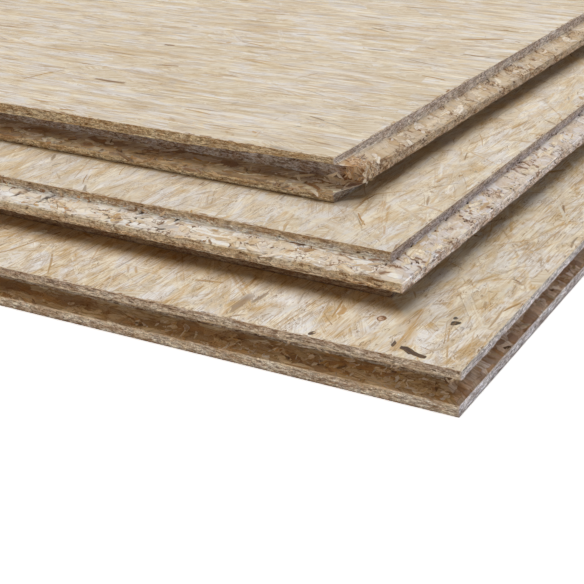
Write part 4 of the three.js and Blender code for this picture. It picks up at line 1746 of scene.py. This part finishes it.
    middle_flecks = (
        Fleck(46.8, 28.7, 22, 20, 4.2, ochre, 1.2, 0.1), Fleck(26.7, 19.9, 25, 20, 3.8, ochre, -1.0, 0.1),
        Fleck(24.9, 29.2, 38, 32, 1.1, shade(150, 128, 96), 1.2, 0.3), Fleck(8.6, 11.2, 36, 5, 2.4, ochre, 0, 0.3),
        Fleck(38.2, 43.6, 20, 15, 1.2, ochre, 0.4, 0.2), Fleck(18, 37.1, 71, 42, 7.0, pale, 1.5, 0.4),
        Fleck(20, 50, 71, 100, 8.0, pale, 0, 0.3), Fleck(21, 14, 28, 13, 2.6, ochre, 0.6, 0.2),
        Fleck(35, 20.5, 22, 16, 2.2, ochre, -0.4, 0.2), Fleck(46, 25.5, 12, 9, 2.4, ochre),
        Fleck(109, 9, 10, 3.6, 2.0, soot, 0, 0.3, True), Fleck(8, 6, 20, 4, 2.4, ochre),
        Fleck(12, 17, 38, 4.5, 1.6, grey), Fleck(20, 26, 55, 26, 1.2, tan, 0.8), Fleck(30, 40, 48, 34, 1.0, tan),
    )
    top_flecks = (
        Fleck(1.7, 25.2, 78, 28, 2.6, shade(156, 146, 138), 0.5, 0.5), Fleck(18.5, 56.6, 60, 5.4, 2.6, ochre, 0, 0.5, True),
        Fleck(11.6, 67, 62, 10, 3.0, tan, 0, 0.5, True), Fleck(16.6, 71, -9, 5, 2.6, tan, 0, 0.5, True),
        Fleck(47, 28, 72, 25, 1.0, shade(164, 152, 140), 0.8, 0.2), Fleck(18.4, 108.4, 59, 8, 2.6, tan, 0, 0.5, True),
        Fleck(41, 31, 10, 4.4, 3.6, grey, 0, 0.4, True), Fleck(36, 42, 84, 6.0, 2.4, grey, 0, 0.3),
        Fleck(57, 95, -10, 5.6, 3.4, grey, 0, 0.4, True), Fleck(46, 36, 66, 26, 1.4, shade(160, 148, 136), 1.5),
        Fleck(17, 53, 18, 10, 3.0, ochre), Fleck(46, 70, 88, 60, 3.0, shade(202, 188, 168), 0, 0.2),
        Fleck(8, 66, 10, 12, 3.0, ochre), Fleck(32, 62, 106, 44, 2.0, tan, 0.8),
    )

    def __init__(self) -> None:
        """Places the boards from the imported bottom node's lowest corner."""
        groove, tongue = EdgeKind.GROOVE, EdgeKind.TONGUE
        low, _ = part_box("bottom_panel")
        first = (low.x * METRE, low.y * METRE)
        self.bottom = Panel("bottom", "bottom_panel", first, 0.0, 0, groove, tongue, tongue, groove)
        second = self.bottom.corner_of_next(self.middle_step)
        self.middle = Panel("middle", "middle_panel", second, self.middle_turn, 1, tongue, groove, groove, tongue)
        third = self.middle.corner_of_next(self.top_step)
        self.top = Panel("top", "top_panel", third, self.middle_turn + self.top_turn, 2, tongue, tongue,
                         groove, groove, turned_over=True, lift=2.6)

    def boards(self) -> list[Board]:
        """The boards with what lies open on each."""
        size_x, size_y = self.bottom.length, self.bottom.width
        steps = [Zone(0, 0, 90, size_y), Zone(90, 0, 900, 80), Zone(900, 0, size_x, 50, 1.5)]
        ends = [Zone(size_x - 90, 0, size_x, size_y, 1.8), Zone(0, size_y - 80, size_x - 90, size_y, 1.8)]
        whole = [Zone(0, 0, size_x, size_y, 3.0)]
        open_top = [Zone(0, 0, 560, 420, 1.1), Zone(560, 0, size_x, 420, 2.4), Zone(0, 420, 560, size_y, 2.0),
                    Zone(560, 420, size_x, size_y, 2.4)]
        upper, lower = FaceSide.UPPER, FaceSide.LOWER
        turn = self.middle_turn + self.top_turn
        # The back and right sides take the default tints, a plain painted shade.
        plain = EdgeLook()
        return [
            Board(self.bottom, 100,
                  [FaceStrands(self.bottom, upper, steps, 0, 18, 3.6, 11, self.bottom_flecks, tones=STRONG_TONES, free=0.3),
                   FaceStrands(self.bottom, lower, whole, 0, 20, 2.4, 12, needles=1 / 400, lines=1 / 1500)],
                  [FlakeZone(0, 14, 400, 5.8, 8.0, 70, GROOVE_SHADE_CHIP_TONES, 6, 1.8, 60, 0.4),
                   FlakeZone(3, 300, 560, 5.8, 8.4, 40, GROOVE_SHADE_CHIP_TONES, 7, 1.6, 26, 0.5),
                   FlakeZone(3, 560, 664, 5.8, 8.4, 90, GROOVE_SHADE_CHIP_TONES, 6, 1.6, 40, 1.0),
                   FlakeZone(3, 575, 668, 5.8, 9.0, 46, TORN_TONES, 8, 1.2, 55, 1.2),
                   FlakeZone(3, 500, 575, 5.8, 7.2, 20, TORN_TONES, 8, 1.2, 40, 0.8)],
                  StrandFinish("bottom_strands", 0.0, 1.25, 0.88, grained=0.85, pale=shade(240, 235, 226),
                               cream=shade(218, 202, 176), honey=shade(203, 165, 104), fibre=shade(180, 144, 90),
                               # Painted shadow under the middle board's near edges.
                               overhang_shadow=OverhangShadow(self.middle.corner, self.middle_turn, 22, (0.76, 0.62, 0.44),
                                             60, (0.85, 0.84, 0.81))),
                  (self.bottom_front, plain, plain, self.bottom_left)),
            Board(self.middle, 200,
                  [FaceStrands(self.middle, upper, steps, 0, 18, 3.6, 21, self.middle_flecks, tones=STRONG_TONES,
                               lines=1 / 600),
                   FaceStrands(self.middle, lower, ends, 0, 20, 2.4, 22, needles=1 / 400, lines=1 / 1500)],
                  [FlakeZone(0, 0, 500, 14.3, 17.2, 150, TORN_TONES, 8, 2.4, 34, 0.1),
                   FlakeZone(0, 0, 500, 14.3, 17.2, 60, TORN_TONES, 5, 1.2, 45, 0.3),
                   FlakeZone(3, 300, 675, 14.3, 17.2, 120, TORN_TONES, 8, 2.4, 34, 0.1),
                   FlakeZone(3, 300, 675, 14.3, 17.2, 60, TORN_TONES, 5, 1.2, 45, 0.3),
                   FlakeZone(3, 300, 675, 17.0, 18.6, 50, RUST_TONES, 5, 1.4, 30, 0.8),
                   FlakeZone(3, 560, 672, 14.2, 17.0, 40, PALE_CHIP_TONES, 13, 2.3, 32, 0.6),
                   FlakeZone(0, 6, 80, 14.2, 17.0, 24, PALE_CHIP_TONES, 13, 2.3, 32, 0.6),
                   FlakeZone(3, 486, 501, 14.3, 17.0, 18, RUST_TONES, 6, 1.2, 55, 0.8),
                   FlakeZone(3, 515, 531, 14.4, 16.8, 10, CREVICE_SHADE_TONES, 5, 1.2, 50, 0.0),
                   FlakeZone(3, 570, 584, 14.4, 16.8, 8, CREVICE_SHADE_TONES, 5, 1.3, 40, 0.0),
                   FlakeZone(3, 625, 648, 16.2, 17.4, 12, CREVICE_SHADE_TONES, 5.5, 1.5, 35, 0.3),
                   FlakeZone(3, 500, 678, 14.2, 17.0, 16, CREVICE_SHADE_TONES, 4.5, 1.3, 40, 0.0),
                   FlakeZone(0, 0, 160, 14.2, 17.0, 14, CREVICE_SHADE_TONES, 4.5, 1.3, 40, 0.0)],
                  StrandFinish("middle_strands", self.middle_turn, 1.0, 0.6, grained=0.65,
                               # Painted shadow under the top board's near edges.
                               overhang_shadow=OverhangShadow(self.top.corner, turn, 3, (0.62, 0.52, 0.38),
                                             26, (0.80, 0.74, 0.66))),
                  (self.middle_front, plain, plain, self.middle_left)),
            Board(self.top, 300,
                  [FaceStrands(self.top, upper, open_top, 90, 11, 2.8, 31, self.top_flecks, free=0.05,
                               needles=1 / 180, lines=1 / 700, wander=8),
                   FaceStrands(self.top, lower, ends, 90, 20, 2.4, 32, needles=1 / 400, lines=1 / 1500)],
                  [FlakeZone(0, 11.6, 21, 5.8, 11.5, 170, RUST_TONES, 5.0, 0.8, 55, 1.5),
                   FlakeZone(0, 12.0, 14.5, 9.0, 13.0, 20, TORN_TONES, 4.0, 1.4, 60, 1.6),
                   FlakeZone(3, 675, 684, 8.8, 12.4, 90, RUST_TONES, 4.0, 0.8, 60, 1.0),
                   FlakeZone(3, 420, 672, 16.4, 18.3, 70, RUST_TONES, 7, 1.6, 20, 0.8),
                   FlakeZone(0, 14, 500, 5.7, 8.4, 120, TORN_TONES, 8, 2.4, 34, 0.1),
                   FlakeZone(0, 14, 500, 5.7, 8.4, 60, TORN_TONES, 5, 1.2, 45, 0.4),
                   FlakeZone(3, 300, 660, 14.2, 16.6, 60, GROOVE_SHADE_CHIP_TONES, 5, 1.1, 40, 0.4),
                   FlakeZone(3, 636, 673, 14.8, 17.6, 26, PALE_CHIP_TONES, 8, 1.5, 28, 0.5),
                   FlakeZone(3, 560, 640, 15.4, 17.6, 16, PALE_CHIP_TONES, 7, 1.4, 26, 0.4),
                   FlakeZone(3, 640, 671, 17.2, 18.6, 22, GROOVE_SHADE_CHIP_TONES, 5, 1.2, 24, 0.6),
                   FlakeZone(3, 664, 683, 13.9, 15.2, 22, TORN_TONES, 6, 1.6, 40, 0.2),
                   FlakeZone(3, 260, 560, 15.2, 17.5, 44, PALE_CHIP_TONES, 9, 1.9, 18, 0.3),
                   FlakeZone(3, 260, 640, 14.3, 16.8, 44, CREVICE_SHADE_TONES, 5, 1.5, 45, 0.1)],
                  StrandFinish("top_strands", turn + math.pi / 2, 0.5, 0.5, grained=1.0, drawn_out=34.0,
                               cloud=(70, 5), pale=shade(238, 233, 224)),
                  (self.top_front, plain, plain, self.top_left)),
        ]


def main() -> None:
    """Loads the frame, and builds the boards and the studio."""
    logging.basicConfig(level=logging.INFO, format="%(name)s: %(message)s")
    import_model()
    milled = MilledFinish("milled_edge").material()
    for board in Stack().boards():
        board.build(milled)
    Studio().build()


if __name__ == "__main__":
    main()
